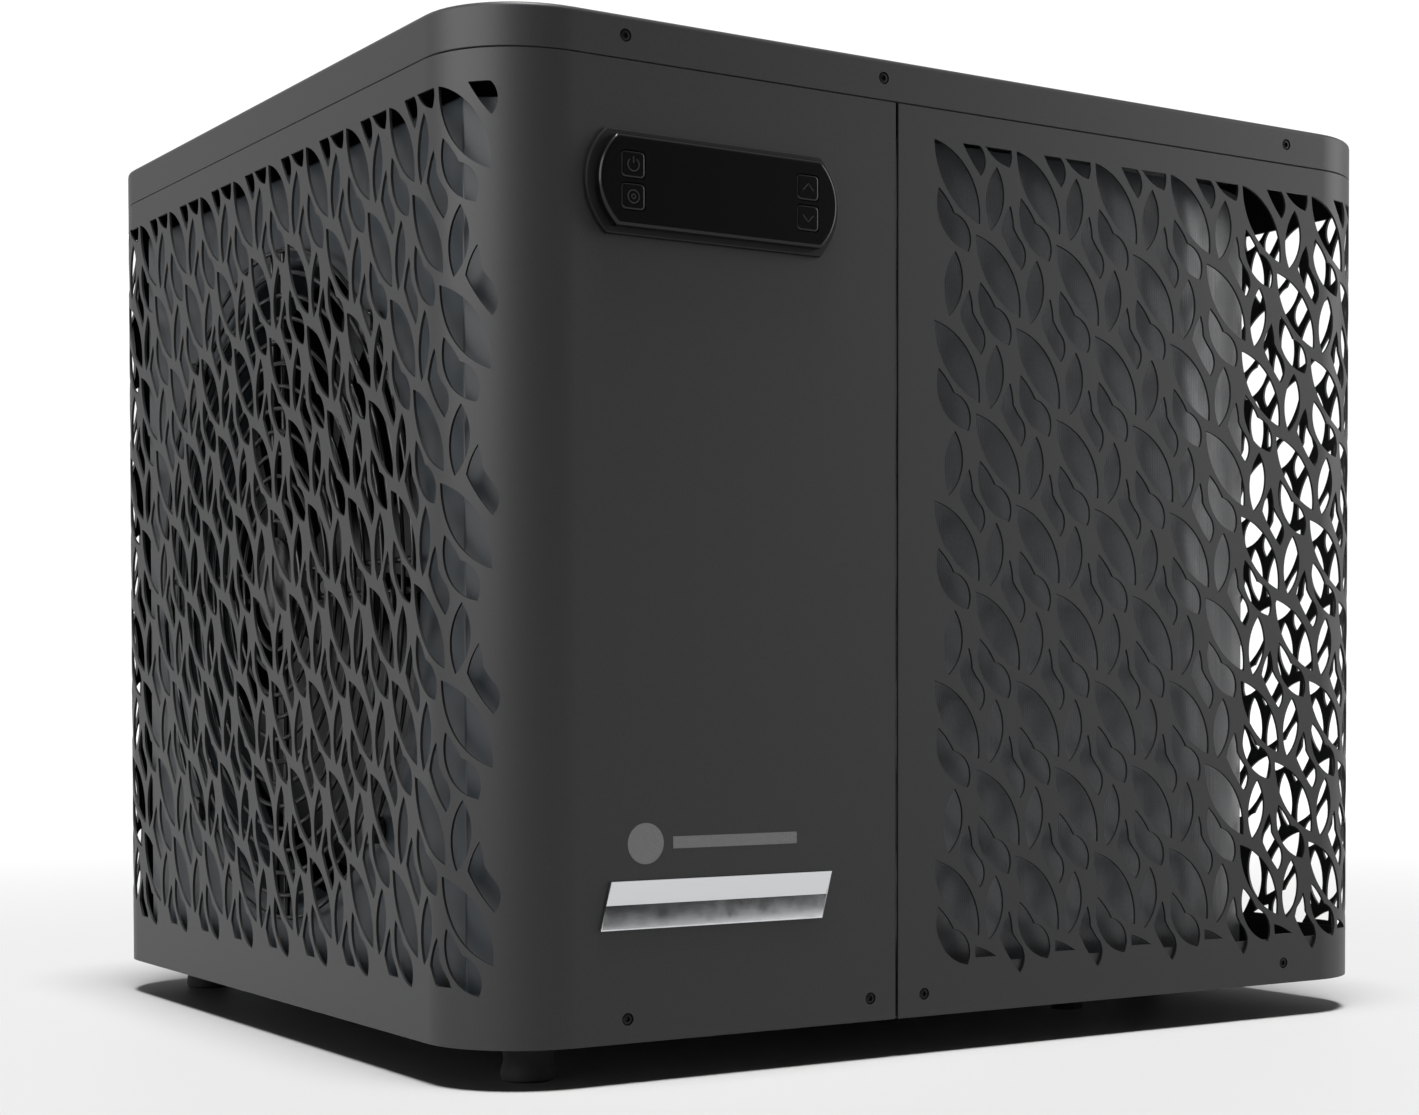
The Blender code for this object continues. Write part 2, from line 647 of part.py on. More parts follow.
def make_heat_exchanger():
    """The water tank, with its two threaded nozzles through the rear panel and a union on each."""
    centre = (TANK_X, TANK_Y)
    cap = TANK_R + 0.003
    shell = [(cap, PAN_FLOOR), (cap, 0.022), (TANK_R, 0.024), (TANK_R, 0.276)]
    shell += [(cap, 0.278), (cap, 0.296), (0.046, 0.300)]
    tank = turned("heat_exchanger", shell, WHITE_PLASTIC, centre, sides=28)
    bore = WATER_BORE
    tail = [(bore, 0.4763), (0.0200, 0.4763), (0.0200, 0.4800), (0.0175, 0.4803)]
    tail += [(0.0175, UNION_END - 0.0005), (0.0170, UNION_END), (bore, UNION_END)]
    nut = [(0.0205, 0.4625), (0.0262, 0.4625), (0.0268, 0.4640), (0.0268, 0.4835), (0.0255, 0.4850)]
    nut += [(0.0180, 0.4850), (0.0180, 0.4804), (0.0205, 0.4804)]
    for name, z in zip(("inlet", "outlet"), WATER_Z):
        at = (TANK_X, z)
        join(tank, turned("nozzle", [(0.019, 0.360), (0.019, 0.476)], WHITE_PLASTIC, at, "Y", 24))
        cut(tank, turned("nozzle_bore", [(bore, 0.405), (bore, 0.49)], WHITE_PLASTIC, at, "Y", 24))
        turned(f"water_{name}_union", tail, GREY_PLASTIC, at, "Y", 24, loop=True)
        turned(f"union_nut_{name}", nut, BLACK_PLASTIC, at, "Y", 24, loop=True)


def smooth_route(route, pitch):
    """Points along a smooth curve through the route's own points, about `pitch` apart."""
    stops = [Vector(point) for point in route]
    stops = [2 * stops[0] - stops[1], *stops, 2 * stops[-1] - stops[-2]]
    points = []
    for a, b, c, d in zip(stops, stops[1:], stops[2:], stops[3:]):
        steps = max(1, round((c - b).length / pitch))
        for i in range(steps):
            t = i / steps
            spread = (2 * a - 5 * b + 4 * c - d) * t * t + (3 * b - 3 * c + d - a) * t**3
            points.append((2 * b + (c - a) * t + spread) / 2)
    return [*points, stops[-2]]


def pipe(name, route, radius, material):
    curve = bpy.data.curves.new(name, "CURVE")
    curve.dimensions = "3D"
    curve.bevel_depth = radius
    curve.bevel_resolution = 2
    curve.use_fill_caps = True
    curve.materials.append(material)
    origin = Vector(route[0])
    points = smooth_route(route, 5 * radius)
    spline = curve.splines.new("POLY")
    spline.points.add(len(points) - 1)
    for slot, point in zip(spline.points, points):
        slot.co = (*(point - origin), 1)
    thing = bpy.data.objects.new(name, curve)
    thing.location = place(*origin)
    bpy.context.collection.objects.link(thing)


def make_refrigerant_circuit():
    valve_y, valve_z = 0.400, 0.290
    body = [(0.008, 0.225), (0.012, 0.228), (0.012, 0.322), (0.008, 0.325)]
    valve = turned("four_way_valve", body, BRASS, (valve_y, valve_z), "X", 16)
    join(valve, turned("stub", [(0.006, 0.380), (0.006, 0.395)], BRASS, (0.275, valve_z), "Y", 12))
    for x in (0.245, 0.275, 0.305):
        join(valve, turned("stub", [(0.006, 0.266), (0.006, 0.285)], BRASS, (x, valve_y), "Z", 12))
    drier_x, drier_y = 0.330, 0.235
    drier = [(0.0035, 0.070), (0.009, 0.078), (0.009, 0.142), (0.0035, 0.150)]
    turned("filter_drier", drier, COPPER, (drier_x, drier_y), sides=14)
    body = [(0.0032, 0.1504), (0.0032, 0.158), (0.007, 0.160), (0.007, 0.184), (0.014, 0.188)]
    body.append((0.014, 0.204))
    turned("expansion_valve", body, BRASS, (drier_x, drier_y), sides=14)
    for name, (radius, route) in PIPES.items():
        pipe(name, route, radius, COPPER)


def make_electrics():
    low, high = (0.1758, 0.110, 0.325), (0.345, 0.4575, 0.394)
    case = box("electrical_box", low, high, GALVANISED)
    room_low = [value + SHEET for value in low]
    cut(case, box("room", room_low, (high[0] - SHEET, high[1] - SHEET, high[2] + 0.01), GALVANISED))
    drill(case, GLAND_X, GLAND_Z, 0.0085, 0.44, 0.47)
    box("electrical_box_cover", (low[0], low[1], 0.3943), (high[0], 0.4572, 0.3955), GALVANISED)
    board = box("circuit_board", (0.186, 0.130, 0.3345), (0.300, 0.300, 0.3361), CIRCUIT)
    for x in (0.190, 0.291):
        for y in (0.134, 0.291):
            join(board, box("post", (x, y, 0.3265), (x + 0.005, y + 0.005, 0.3350), CIRCUIT))
    parts = (
        ((0.196, 0.145), (0.226, 0.215), 0.362),
        ((0.240, 0.145), (0.272, 0.180), 0.358),
        ((0.240, 0.200), (0.258, 0.220), 0.352),
        ((0.266, 0.200), (0.284, 0.220), 0.352),
        ((0.200, 0.250), (0.280, 0.262), 0.348),
    )
    for near, far, top in parts:
        join(board, box("component", (*near, 0.3355), (*far, top), CIRCUIT))
    can = [(0.0165, 0.150), (0.0175, 0.151), (0.0175, 0.214), (0.0165, 0.215)]
    turned("run_capacitor", can, GREY_PLASTIC, (0.322, 0.3445), "Y", 16)
    box("terminal_block", (0.200, 0.350, 0.3265), (0.300, 0.376, 0.345), WHITE_PLASTIC, bevel=0.001)
    gland = [(0.0110, 0.4500), (0.0110, 0.4560), (0.0079, 0.4560), (0.0079, 0.4593), (0.0120, 0.4593)]
    gland += [(0.0120, 0.4645), (0.0105, 0.4650), (0.0105, 0.4740), (0.0085, 0.4775), (0.0050, 0.4775)]
    gland += [(0.0045, 0.4755)]
    turned("cable_gland", gland, BLACK_PLASTIC, (GLAND_X, GLAND_Z), "Y", 12)


reset_scene()
POWDER_COAT = finish("dark grey powder coat", "3b3b3b", 0.45)
GALVANISED = finish("galvanised steel", "8c9092", 0.45, 1.0)
SHROUD_STEEL = finish("slate painted steel", "2e3338", 0.5)
BLACK_STEEL = finish("black painted steel", "161616", 0.4)
BLACK_WIRE = finish("black coated wire", "101010", 0.35)
BLACK_ZINC = finish("black zinc", "141414", 0.4, 0.8)
BLACK_PLASTIC = finish("black plastic", "151515", 0.5)
GLOSS_BLACK = finish("gloss black plastic", "0c0c0c", 0.2)
FAN_PLASTIC = finish("fan plastic", "131415", 0.45)
WHITE_PLASTIC = finish("white plastic", "d8d8d4", 0.4)
GREY_PLASTIC = finish("grey plastic", "8a8d8f", 0.45)
RUBBER = finish("black rubber", "111111", 0.8)
CHROME = finish("chrome", "d9dadb", 0.12, 1.0)
STEEL = finish("zinc plated steel", "a5a8aa", 0.3, 1.0)
COIL_ALUMINIUM = finish("blue-black finned aluminium", "33393f", 0.45, 0.4)
BRASS = finish("brass", "b08d4a", 0.3, 1.0)
COPPER = finish("copper", "b8704a", 0.3, 1.0)
CIRCUIT = finish("green circuit board", "1f5a35", 0.5)

make_base()
make_panels()
make_lid()
make_screws()
make_control_panel()
make_nameplate()
make_shroud()
make_guard()
make_fan()
make_coil()
make_compressor()
make_heat_exchanger()
make_refrigerant_circuit()
make_electrics()
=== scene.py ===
"""A spa heat pump: the looks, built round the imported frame.

Sizes are in millimetres. Places are given on the cabinet: x from its left face, y back from its front
face and z up from its lower edge. place() turns them into the frame's own metres.
"""
import math

import bmesh
import bpy
from mathutils import Matrix, Vector


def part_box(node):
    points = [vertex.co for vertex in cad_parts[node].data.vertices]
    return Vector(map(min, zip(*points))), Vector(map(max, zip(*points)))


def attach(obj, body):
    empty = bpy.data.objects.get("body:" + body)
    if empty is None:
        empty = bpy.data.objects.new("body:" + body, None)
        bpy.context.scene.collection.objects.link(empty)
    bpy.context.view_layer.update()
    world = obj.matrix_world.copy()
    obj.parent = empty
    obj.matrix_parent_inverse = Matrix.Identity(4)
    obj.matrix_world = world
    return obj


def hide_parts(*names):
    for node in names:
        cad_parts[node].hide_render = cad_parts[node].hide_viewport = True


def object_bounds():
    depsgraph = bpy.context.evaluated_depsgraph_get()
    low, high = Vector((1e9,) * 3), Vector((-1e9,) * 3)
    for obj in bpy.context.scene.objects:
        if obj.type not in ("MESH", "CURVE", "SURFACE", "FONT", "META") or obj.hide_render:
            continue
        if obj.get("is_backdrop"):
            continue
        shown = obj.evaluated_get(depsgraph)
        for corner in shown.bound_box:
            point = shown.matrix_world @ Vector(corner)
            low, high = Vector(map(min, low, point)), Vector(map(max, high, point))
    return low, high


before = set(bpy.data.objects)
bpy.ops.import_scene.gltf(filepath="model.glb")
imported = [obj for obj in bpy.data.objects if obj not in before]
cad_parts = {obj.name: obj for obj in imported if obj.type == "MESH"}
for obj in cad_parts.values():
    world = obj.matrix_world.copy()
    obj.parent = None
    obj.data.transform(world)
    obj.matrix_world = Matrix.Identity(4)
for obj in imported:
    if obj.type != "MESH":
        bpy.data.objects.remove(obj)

cad_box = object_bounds()
panel_low, panel_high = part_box("left_wrap_panel")[0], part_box("right_wrap_panel")[1]
WIDTH, DEPTH = (round(1000 * (panel_high[i] - panel_low[i]), 1) for i in (0, 1))


def place(x, y, z):
    """A place on the cabinet, in the frame's metres."""
    return panel_low + Vector((x, y, z)) * 0.001


# Camera: low down at the front left corner, with a long lens whose frame is shifted up and left.
LENS, SHIFT = 62.98, (-0.0947, 0.1329)
CAMERA_AT, CAMERA_DIP, CAMERA_HEADING = (-425.6, -892.7, 148.2), 1.46, 33.95
camera = bpy.data.objects.new("camera", bpy.data.cameras.new("camera"))
camera.data.lens, camera.data.sensor_width = LENS, 36
camera.data.shift_x, camera.data.shift_y = SHIFT
camera.location = place(*CAMERA_AT)
camera.rotation_euler = (math.radians(90 - CAMERA_DIP), 0, math.radians(-CAMERA_HEADING))
bpy.context.collection.objects.link(camera)
bpy.context.scene.camera = camera


# Studio: a pale floor without an edge, painted grey round the cabinet as a painted shade, a white room, a
# broad lamp overhead, and large softboxes to the right and to the left. The room is darker on the side that
# the front faces, as in a studio lit from the sides, and the softboxes are flagged off the floor, so that the
# shadow under the cabinet stays dark.
def coloured(hex_value):
    """An sRGB hex colour in linear values."""
    parts = [int(hex_value[i : i + 2], 16) / 255 for i in (0, 2, 4)]
    return (*(c / 12.92 if c <= 0.04045 else ((c + 0.055) / 1.055) ** 2.4 for c in parts), 1)


def add_node(tree, kind, inputs=None, **settings):
    """Adds a node to a tree, with its settings, and with its inputs linked or given a value."""
    node = tree.nodes.new(kind)
    for name, value in settings.items():
        setattr(node, name, value)
    for key, value in (inputs or {}).items():
        if isinstance(value, bpy.types.NodeSocket):
            tree.links.new(value, node.inputs[key])
        else:
            node.inputs[key].default_value = value
    return node


def surface(name, inputs):
    """A new material with values on its shader's own sockets; also its tree and its shader."""
    material = bpy.data.materials.new(name)
    material.use_nodes = True
    shader = material.node_tree.nodes["Principled BSDF"]
    for key, value in inputs.items():
        shader.inputs[key].default_value = value
    return material, material.node_tree, shader


def lamp(name, size, power, at, towards):
    """A large soft area lamp that the camera doesn't see."""
    data = bpy.data.lights.new(name, "AREA")
    data.shape, data.size, data.size_y = "RECTANGLE", size[0], size[1]
    data.energy = power
    light = bpy.data.objects.new(name, data)
    light.location = at
    light.rotation_euler = (Vector(towards) - Vector(at)).to_track_quat("-Z", "Y").to_euler()
    light.visible_camera = False
    bpy.context.collection.objects.link(light)
    return light


DARK_SIDE, DARK_FROM, DARK_TO = (0.1, -0.99, 0.0), 0.5, 0.93
ROOM_LIGHT, DARK_LIGHT, SEEN_LIGHT = 0.72, 0.03, 1.05
scene = bpy.context.scene
scene.view_settings.view_transform = "Standard"
room = bpy.data.worlds.new("white room")
room.use_nodes = True
scene.world = room
room.cycles_visibility.diffuse = False
wall = room.node_tree.nodes["Background"]
tree = room.node_tree
seen = add_node(tree, "ShaderNodeLightPath").outputs["Is Camera Ray"]
side = add_node(tree, "ShaderNodeTexCoord").outputs["Generated"]
facing = add_node(tree, "ShaderNodeVectorMath", {0: side, 1: DARK_SIDE}, operation="DOT_PRODUCT")
limits = {"From Min": DARK_FROM, "From Max": DARK_TO, "To Min": ROOM_LIGHT, "To Max": DARK_LIGHT}
limits["Value"] = facing.outputs["Value"]
dimmed = add_node(tree, "ShaderNodeMapRange", limits, interpolation_type="SMOOTHSTEP")
glowing = {"Factor": seen, "A": dimmed.outputs["Result"], "B": SEEN_LIGHT}
glow = add_node(tree, "ShaderNodeMix", glowing)
tree.links.new(glow.outputs["Result"], wall.inputs["Strength"])
wall.inputs["Color"].default_value = (1, 1, 1, 1)

softboxes = [
    lamp("right softbox", (1.3, 1.5), 20, (2.15, -1.15, 1.0), (0.1, 0, 0.2)),
    lamp("left softbox", (2.5, 1.4), 40, (-2.1, -0.3, 1.15), (-0.2, 0, 0.2)),
]
overhead = bpy.data.lights.new("overhead", "SUN")
overhead.energy, overhead.angle = 4.0, math.radians(18)
sky = bpy.data.objects.new("overhead", overhead)
sky.rotation_euler = Vector((0.05, 0.12, -1)).to_track_quat("-Z", "Y").to_euler()
bpy.context.collection.objects.link(sky)

FLOOR_HALF, PAINTED_SHADE_NEAR, PAINTED_SHADE_FAR = 40, 0.3, 2.2
floor_mesh = bpy.data.meshes.new("floor")
corners = ((-1, -1), (1, -1), (1, 1), (-1, 1))
floor_mesh.from_pydata([(FLOOR_HALF * x, FLOOR_HALF * y, 0) for x, y in corners], [], [(0, 1, 2, 3)])
floor = bpy.data.objects.new("floor", floor_mesh)
bpy.context.collection.objects.link(floor)
# Painted shade: the floor's colour runs from d6d6d6 close to the cabinet to f8f8f8 far off, a shade painted
# round its base.
floor_with_painted_shade, tree, shader = surface("white painted floor", {"Roughness": 0.6, "Specular IOR Level": 0.2})
here = add_node(tree, "ShaderNodeTexCoord").outputs["Object"]
reach = add_node(tree, "ShaderNodeVectorMath", {0: here}, operation="LENGTH")
painted_shade_fade = add_node(
    tree,
    "ShaderNodeMapRange",
    {"Value": reach.outputs["Value"], "From Min": PAINTED_SHADE_NEAR, "From Max": PAINTED_SHADE_FAR},
    interpolation_type="SMOOTHSTEP",
)
shade = add_node(
    tree,
    "ShaderNodeMix",
    {"Factor": painted_shade_fade.outputs["Result"], "A": coloured("d6d6d6"), "B": coloured("f8f8f8")},
    data_type="RGBA",
)
tree.links.new(shade.outputs["Result"], shader.inputs["Base Color"])
floor.data.materials.append(floor_with_painted_shade)
floor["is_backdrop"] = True
flagged = bpy.data.collections.new("flagged off")
flagged.objects.link(floor)
flagged.collection_objects[0].light_linking.link_state = "EXCLUDE"
for softbox in softboxes:
    softbox.light_linking.receiver_collection = flagged


# Left and right wrap panels: two sheets of 1.2 mm galvanised steel, laser cut with leaves, bent round
# the cabinet's corners and powder coated. Their tops step in behind the lid's skirt, and their rear
# edges are folded behind the cabinet. Each is laid out flat first, as the laser cuts it.
BEND, SHEET = 45, 1.2
ARC = math.pi / 2 * BEND
FLATS = (WIDTH - 2 * BEND, DEPTH - 2 * BEND) * 2
REAR_RIGHT = FLATS[0] + FLATS[1] + 2 * ARC
REAR_LEFT = -(2 * ARC + FLATS[1])
REAR_FOLD = round(1000 * (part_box("rear_panel")[0].x - panel_low.x), 1) - BEND - 0.3
SEAM, SEAM_GAP = 203.5 - BEND, 1.5
PANEL_TOP, FACE_TOP, STEP_IN, STEP_HEIGHT = 416.5, 401.5, 1.6, 0.5

# Each leaf's sides are arcs, clockwise from its tip: a corner, and how far the side after it bulges.
LEAVES = {
    "broad": (((0, 0), 8.4), ((25.2, -35.2), 6.9)),
    "comma": (((2.5, -21), 0.7), ((11.2, -31.4), 4.6), ((19, -48), 7.5)),
    "lens": (((34.7, -8.4), 5.85), ((31.3, -37.5), 4.45)),
    "twist": (((42.5, -25), 0.45), ((44.5, -34.5), -0.2), ((48.6, -40.2), 2.8), ((48.8, -53.6), 0.75),
              ((37, -37), 0.7)),
}
PITCH, DROP = 46.0, 79.78
LEFT_TIP, RIGHT_TIP, TIP_Z = 170.25, 178.65, 388.6
FIELD_TOP, FIELD_BOTTOM = 388.5, 24.4
PLAIN_END = 31
ARC_STEP = 1.7


def new_tree(name, sizes):
    """A Geometry Nodes tree with geometry in and out, a named input for each size, and its inputs."""
    tree = bpy.data.node_groups.new(name, "GeometryNodeTree")
    tree.interface.new_socket("Geometry", in_out="INPUT", socket_type="NodeSocketGeometry")
    for label, kind in sizes.items():
        tree.interface.new_socket(label, in_out="INPUT", socket_type="NodeSocket" + kind)
    tree.interface.new_socket("Geometry", in_out="OUTPUT", socket_type="NodeSocketGeometry")
    return tree, tree.nodes.new("NodeGroupInput").outputs


def add_tree(piece, tree, sizes):
    """Puts a tree on a piece as a modifier, with its sizes set by the sockets' identifiers."""
    modifier = piece.modifiers.new(tree.name, "NODES")
    modifier.node_group = tree
    for socket in tree.interface.items_tree:
        if socket.in_out == "INPUT" and socket.name in sizes:
            modifier[socket.identifier] = sizes[socket.name]


def link(name, data):
    thing = bpy.data.objects.new(name, data)
    bpy.context.collection.objects.link(thing)
    return thing


def end_tree(tree, geometry, coat):
    """Ends a tree: its instances are made real and its material is set."""
    real = add_node(tree, "GeometryNodeRealizeInstances", {"Geometry": geometry})
    coated = add_node(tree, "GeometryNodeSetMaterial", {"Geometry": real.outputs[0], "Material": coat})
    add_node(tree, "NodeGroupOutput", {"Geometry": coated.outputs[0]})


def plain_mesh(thing):
    """The mesh that a thing's modifiers give; the thing is removed."""
    bpy.context.view_layer.update()
    depsgraph = bpy.context.evaluated_depsgraph_get()
    mesh = bpy.data.meshes.new_from_object(thing.evaluated_get(depsgraph), depsgraph=depsgraph)
    bpy.data.objects.remove(thing, do_unlink=True)
    return mesh


def settle(piece, nodes=(), body="cabinet"):
    """Hangs a piece on the body it rides on, and hides the nodes that it stands for."""
    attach(piece, body)
    if nodes:
        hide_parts(*nodes)


def arc_outline(sides):
    """The points of a closed outline whose sides are arcs."""
    points = []
    for (start, bulge), (end, _) in zip(sides, sides[1:] + sides[:1]):
        chord = Vector(end) - Vector(start)
        along, half = chord.normalized(), chord.length / 2
        outward = Vector((-along.y, along.x))
        radius = (half * half + bulge * bulge) / (2 * bulge)
        centre = Vector(start) + chord / 2 - outward * (radius - bulge)
        spread = math.asin(half / radius)
        count = max(2, round(2 * spread * radius / ARC_STEP))
        for i in range(count):
            turn = spread * (2 * i / count - 1)
            points.append(centre + (outward * math.cos(turn) + along * math.sin(turn)) * radius)
    return points


def round_outline(x, z, radius, count):
    turns = [2 * math.pi * i / count for i in range(count)]
    return [(x + radius * math.cos(turn), z + radius * math.sin(turn)) for turn in turns]


def flat_curve(name, outlines):
    """Closed outlines as one flat curve."""
    curve = bpy.data.curves.new(name, "CURVE")
    for outline in outlines:
        spline = curve.splines.new("POLY")
        spline.points.add(len(outline) - 1)
        spline.use_cyclic_u = True
        for point, (x, z) in zip(spline.points, outline):
            point.co = (x, z, 0, 1)
    return link(name, curve)


leaf_outlines = {name: arc_outline(sides) for name, sides in LEAVES.items()}
leaf_curves = {name: flat_curve(name + " leaf", [points]) for name, points in leaf_outlines.items()}

# A lattice of one kind of leaf, trimmed level with the field's top and bottom
lattice, given = new_tree(
    "leaf lattice",
    {"Leaf": "Object", "Columns": "Int", "Rows": "Int", "Width": "Float", "Height": "Float",
     "Middle": "Vector", "Bottom": "Float", "Top": "Float"},
)
grid = add_node(
    lattice,
    "GeometryNodeMeshGrid",
    {"Size X": given["Width"], "Size Y": given["Height"], "Vertices X": given["Columns"],
     "Vertices Y": given["Rows"]},
)
tips = add_node(
    lattice, "GeometryNodeTransform", {"Geometry": grid.outputs["Mesh"], "Translation": given["Middle"]}
)
leaf = add_node(lattice, "GeometryNodeObjectInfo", {"Object": given["Leaf"]})
copies = add_node(
    lattice,
    "GeometryNodeInstanceOnPoints",
    {"Points": tips.outputs[0], "Instance": leaf.outputs["Geometry"]},
)
real = add_node(lattice, "GeometryNodeRealizeInstances", {"Geometry": copies.outputs[0]})
at = add_node(lattice, "GeometryNodeInputPosition").outputs[0]
parts = add_node(lattice, "ShaderNodeSeparateXYZ", {0: at})
trim = add_node(
    lattice, "ShaderNodeClamp", {"Value": parts.outputs["Y"], "Min": given["Bottom"], "Max": given["Top"]}
)
trimmed_at = add_node(lattice, "ShaderNodeCombineXYZ", {"X": parts.outputs["X"], "Y": trim.outputs[0]})
trimmed = add_node(
    lattice, "GeometryNodeSetPosition", {"Geometry": real.outputs[0], "Position": trimmed_at.outputs[0]}
)
both = add_node(lattice, "GeometryNodeJoinGeometry", {"Geometry": given["Geometry"]})
lattice.links.new(trimmed.outputs[0], both.inputs[0])
add_node(lattice, "NodeGroupOutput", {"Geometry": both.outputs[0]})

# The sheet that is left between an outline and the holes in it
blank, given = new_tree("flat sheet", {"Coat": "Material"})
filled = add_node(blank, "GeometryNodeFillCurve", {0: given["Geometry"]})
end_tree(blank, filled.outputs[0], given["Coat"])


def add_leaves(sheet, tip, start, end, bottoms, least):
    """Adds each kind of leaf to a flat sheet, on both halves of the lattice, between two lengths."""
    for name, outline in leaf_outlines.items():
        left, right = min(p.x for p in outline), max(p.x for p in outline)
        low, high = min(p.y for p in outline), max(p.y for p in outline)
        for half in (0, 1):
            tip_x, tip_z = tip + half * PITCH / 2, TIP_Z - half * DROP / 2
            first = math.ceil((start - left - tip_x) / PITCH)
            last = math.floor((end - right - tip_x) / PITCH)
            upper = math.ceil((tip_z + low + least - FIELD_TOP) / DROP)
            lower = math.floor((tip_z + high - least - FIELD_BOTTOM) / DROP)
            sizes = {
                "Leaf": leaf_curves[name],
                "Columns": last - first + 1,
                "Rows": lower - upper + 1,
                "Width": (last - first) * PITCH,
                "Height": (lower - upper) * DROP,
                "Middle": (tip_x + (first + last) / 2 * PITCH, tip_z - (upper + lower) / 2 * DROP, 0),
                "Bottom": float(bottoms[name]),
                "Top": FIELD_TOP,
            }
            add_tree(sheet, lattice, sizes)


def around(along, inset):
    """A place on the cabinet's outline, set in from it, and the way out: lengths run to the right."""
    along %= sum(FLATS) + 4 * ARC
    corner, turn = Vector((BEND, 0)), 0.0
    for flat in FLATS:
        ahead = Vector((math.cos(turn), math.sin(turn)))
        inward = Vector((-ahead.y, ahead.x))
        if along <= flat:
            return corner + ahead * along + inward * inset, -inward
        along -= flat
        corner += ahead * flat
        if along <= ARC:
            angle = turn + along / BEND
            now = Vector((-math.sin(angle), math.cos(angle)))
            return corner + inward * BEND - now * (BEND - inset), -now
        along -= ARC
        corner += (ahead + inward) * BEND
        turn += math.pi / 2
    return corner, -inward


def bend_lines(start, end, steps):
    """Where the bends' short flats meet, between two lengths."""
    whole = sum(FLATS) + 4 * ARC
    lines, begin = [], 0
    for flat in FLATS:
        begin += flat
        lines += [begin + ARC * i / steps for i in range(steps + 1)]
        begin += ARC
    return [line + turn for turn in (-whole, 0) for line in lines if start < line + turn < end]


def bent_sheet(name, flat, start, end, coat):
    """A flat sheet bent round the cabinet and given its thickness, shaded as true arcs and flats."""
    form = bmesh.new()
    form.from_mesh(flat)
    bmesh.ops.remove_doubles(form, verts=form.verts, dist=0.001)
    bmesh.ops.dissolve_degenerate(form, edges=form.edges, dist=0.001)
    cuts = [((line, 0, 0), (1, 0, 0)) for line in bend_lines(start, end, 12)]
    cuts += [((0, z, 0), (0, 1, 0)) for z in (FACE_TOP, FACE_TOP + STEP_HEIGHT)]
    for point, across in cuts:
        every = [*form.verts, *form.edges, *form.faces]
        bmesh.ops.bisect_plane(form, geom=every, dist=0.0005, plane_co=point, plane_no=across)
    bmesh.ops.triangulate(form, faces=form.faces)
    for face in form.faces:
        if face.normal.z < 0:
            face.normal_flip()
    form.verts.index_update()
    points, ways = [], []
    for depth in (0, SHEET):
        for vert in form.verts:
            stepped = STEP_IN * min(max((vert.co.y - FACE_TOP) / STEP_HEIGHT, 0), 1)
            (x, y), out = around(vert.co.x, stepped + depth)
            points.append(place(x, y, vert.co.y))
            ways.append(Vector((out.x, out.y, 0)))
    count = len(form.verts)
    faces = [[v.index for v in face.verts] for face in form.faces]
    inner = [[i + count for i in reversed(face)] for face in faces]
    walls = []
    for edge in form.edges:
        if edge.is_boundary:
            loop = edge.link_loops[0]
            a, b = loop.vert.index, loop.link_loop_next.vert.index
            walls.append([b, a, a + count, b + count])
    form.free()
    mesh = bpy.data.meshes.new(name)
    mesh.from_pydata(points, [], faces + inner + walls)
    mesh.materials.append(coat)
    mesh.shade_smooth()
    turned_out = [ways[i] for face in faces for i in face]
    turned_in = [-ways[i] for face in inner for i in face]
    across = [mesh.polygons[k].normal for k in range(2 * len(faces), len(mesh.polygons)) for _ in range(4)]
    mesh.normals_split_custom_set(turned_out + turned_in + across)
    return link(name, mesh)


def set_ramp(ramp, stops):
    """Sets a two-colour ramp: where each colour stands, and the colour."""
    for stop, (position, shade) in zip(ramp.color_ramp.elements, stops):
        stop.position, stop.color = position, coloured(shade)


def mottled(name, inputs, grain, stops=(), relief=None, haze=None):
    """
    A material over one fine noise. Its grain is the noise's scale and detail. Stops spread the noise
    between two shades, relief is a bump's strength and distance, and haze is a range of roughness.
    """
    material, tree, shader = surface(name, inputs)
    here = add_node(tree, "ShaderNodeTexCoord").outputs["Object"]
    noise = add_node(tree, "ShaderNodeTexNoise", {"Vector": here, "Scale": grain[0], "Detail": grain[1]})
    if stops:
        tint = add_node(tree, "ShaderNodeValToRGB", {"Fac": noise.outputs["Fac"]})
        set_ramp(tint, stops)
        tree.links.new(tint.outputs[0], shader.inputs["Base Color"])
    if relief:
        heights = {"Height": noise.outputs["Fac"], "Strength": relief[0], "Distance": relief[1]}
        bump = add_node(tree, "ShaderNodeBump", heights)
        tree.links.new(bump.outputs[0], shader.inputs["Normal"])
    if haze:
        limits = {"Value": noise.outputs["Fac"], "To Min": haze[0], "To Max": haze[1]}
        blur = add_node(tree, "ShaderNodeMapRange", limits)
        tree.links.new(blur.outputs[0], shader.inputs["Roughness"])
    return material


# Polyester powder coat, satin: dark grey with the faint speckle and orange peel of melted powder. The
# peel is about 0.8 mm from crest to crest, and the speckle is as coarse, so that it shows.
powder_coat = mottled(
    "satin powder coat",
    {"Roughness": 0.46, "Specular IOR Level": 0.5},
    (1250.0, 3.0),
    ((0.3, "121213"), (0.7, "1b1b1c")),
    (0.12, 0.0001),
)

LID_SCREWS, LID_SCREW_Z = (68.5, 196.5, 436.5), 411.5
BASE_SCREWS, BASE_SCREW_Z = (68.5, 189.5, 218.5, 437.0), 10
SCREW_HOLE, PILOT_HOLE = 2.65, 1.9
CONTROL_X, CONTROL_Z = 110.2, 351.5
CONTROL_OPENING = (52.1, 15.9)


def sheet_outlines(start, end, lid_screws, base_screws):
    """A panel's edge and its screw holes."""
    outlines = [[(start, 0), (end, 0), (end, PANEL_TOP), (start, PANEL_TOP)]]
    outlines += [round_outline(x - BEND, LID_SCREW_Z, PILOT_HOLE, 16) for x in lid_screws]
    outlines += [round_outline(x - BEND, BASE_SCREW_Z, SCREW_HOLE, 32) for x in base_screws]
    return outlines


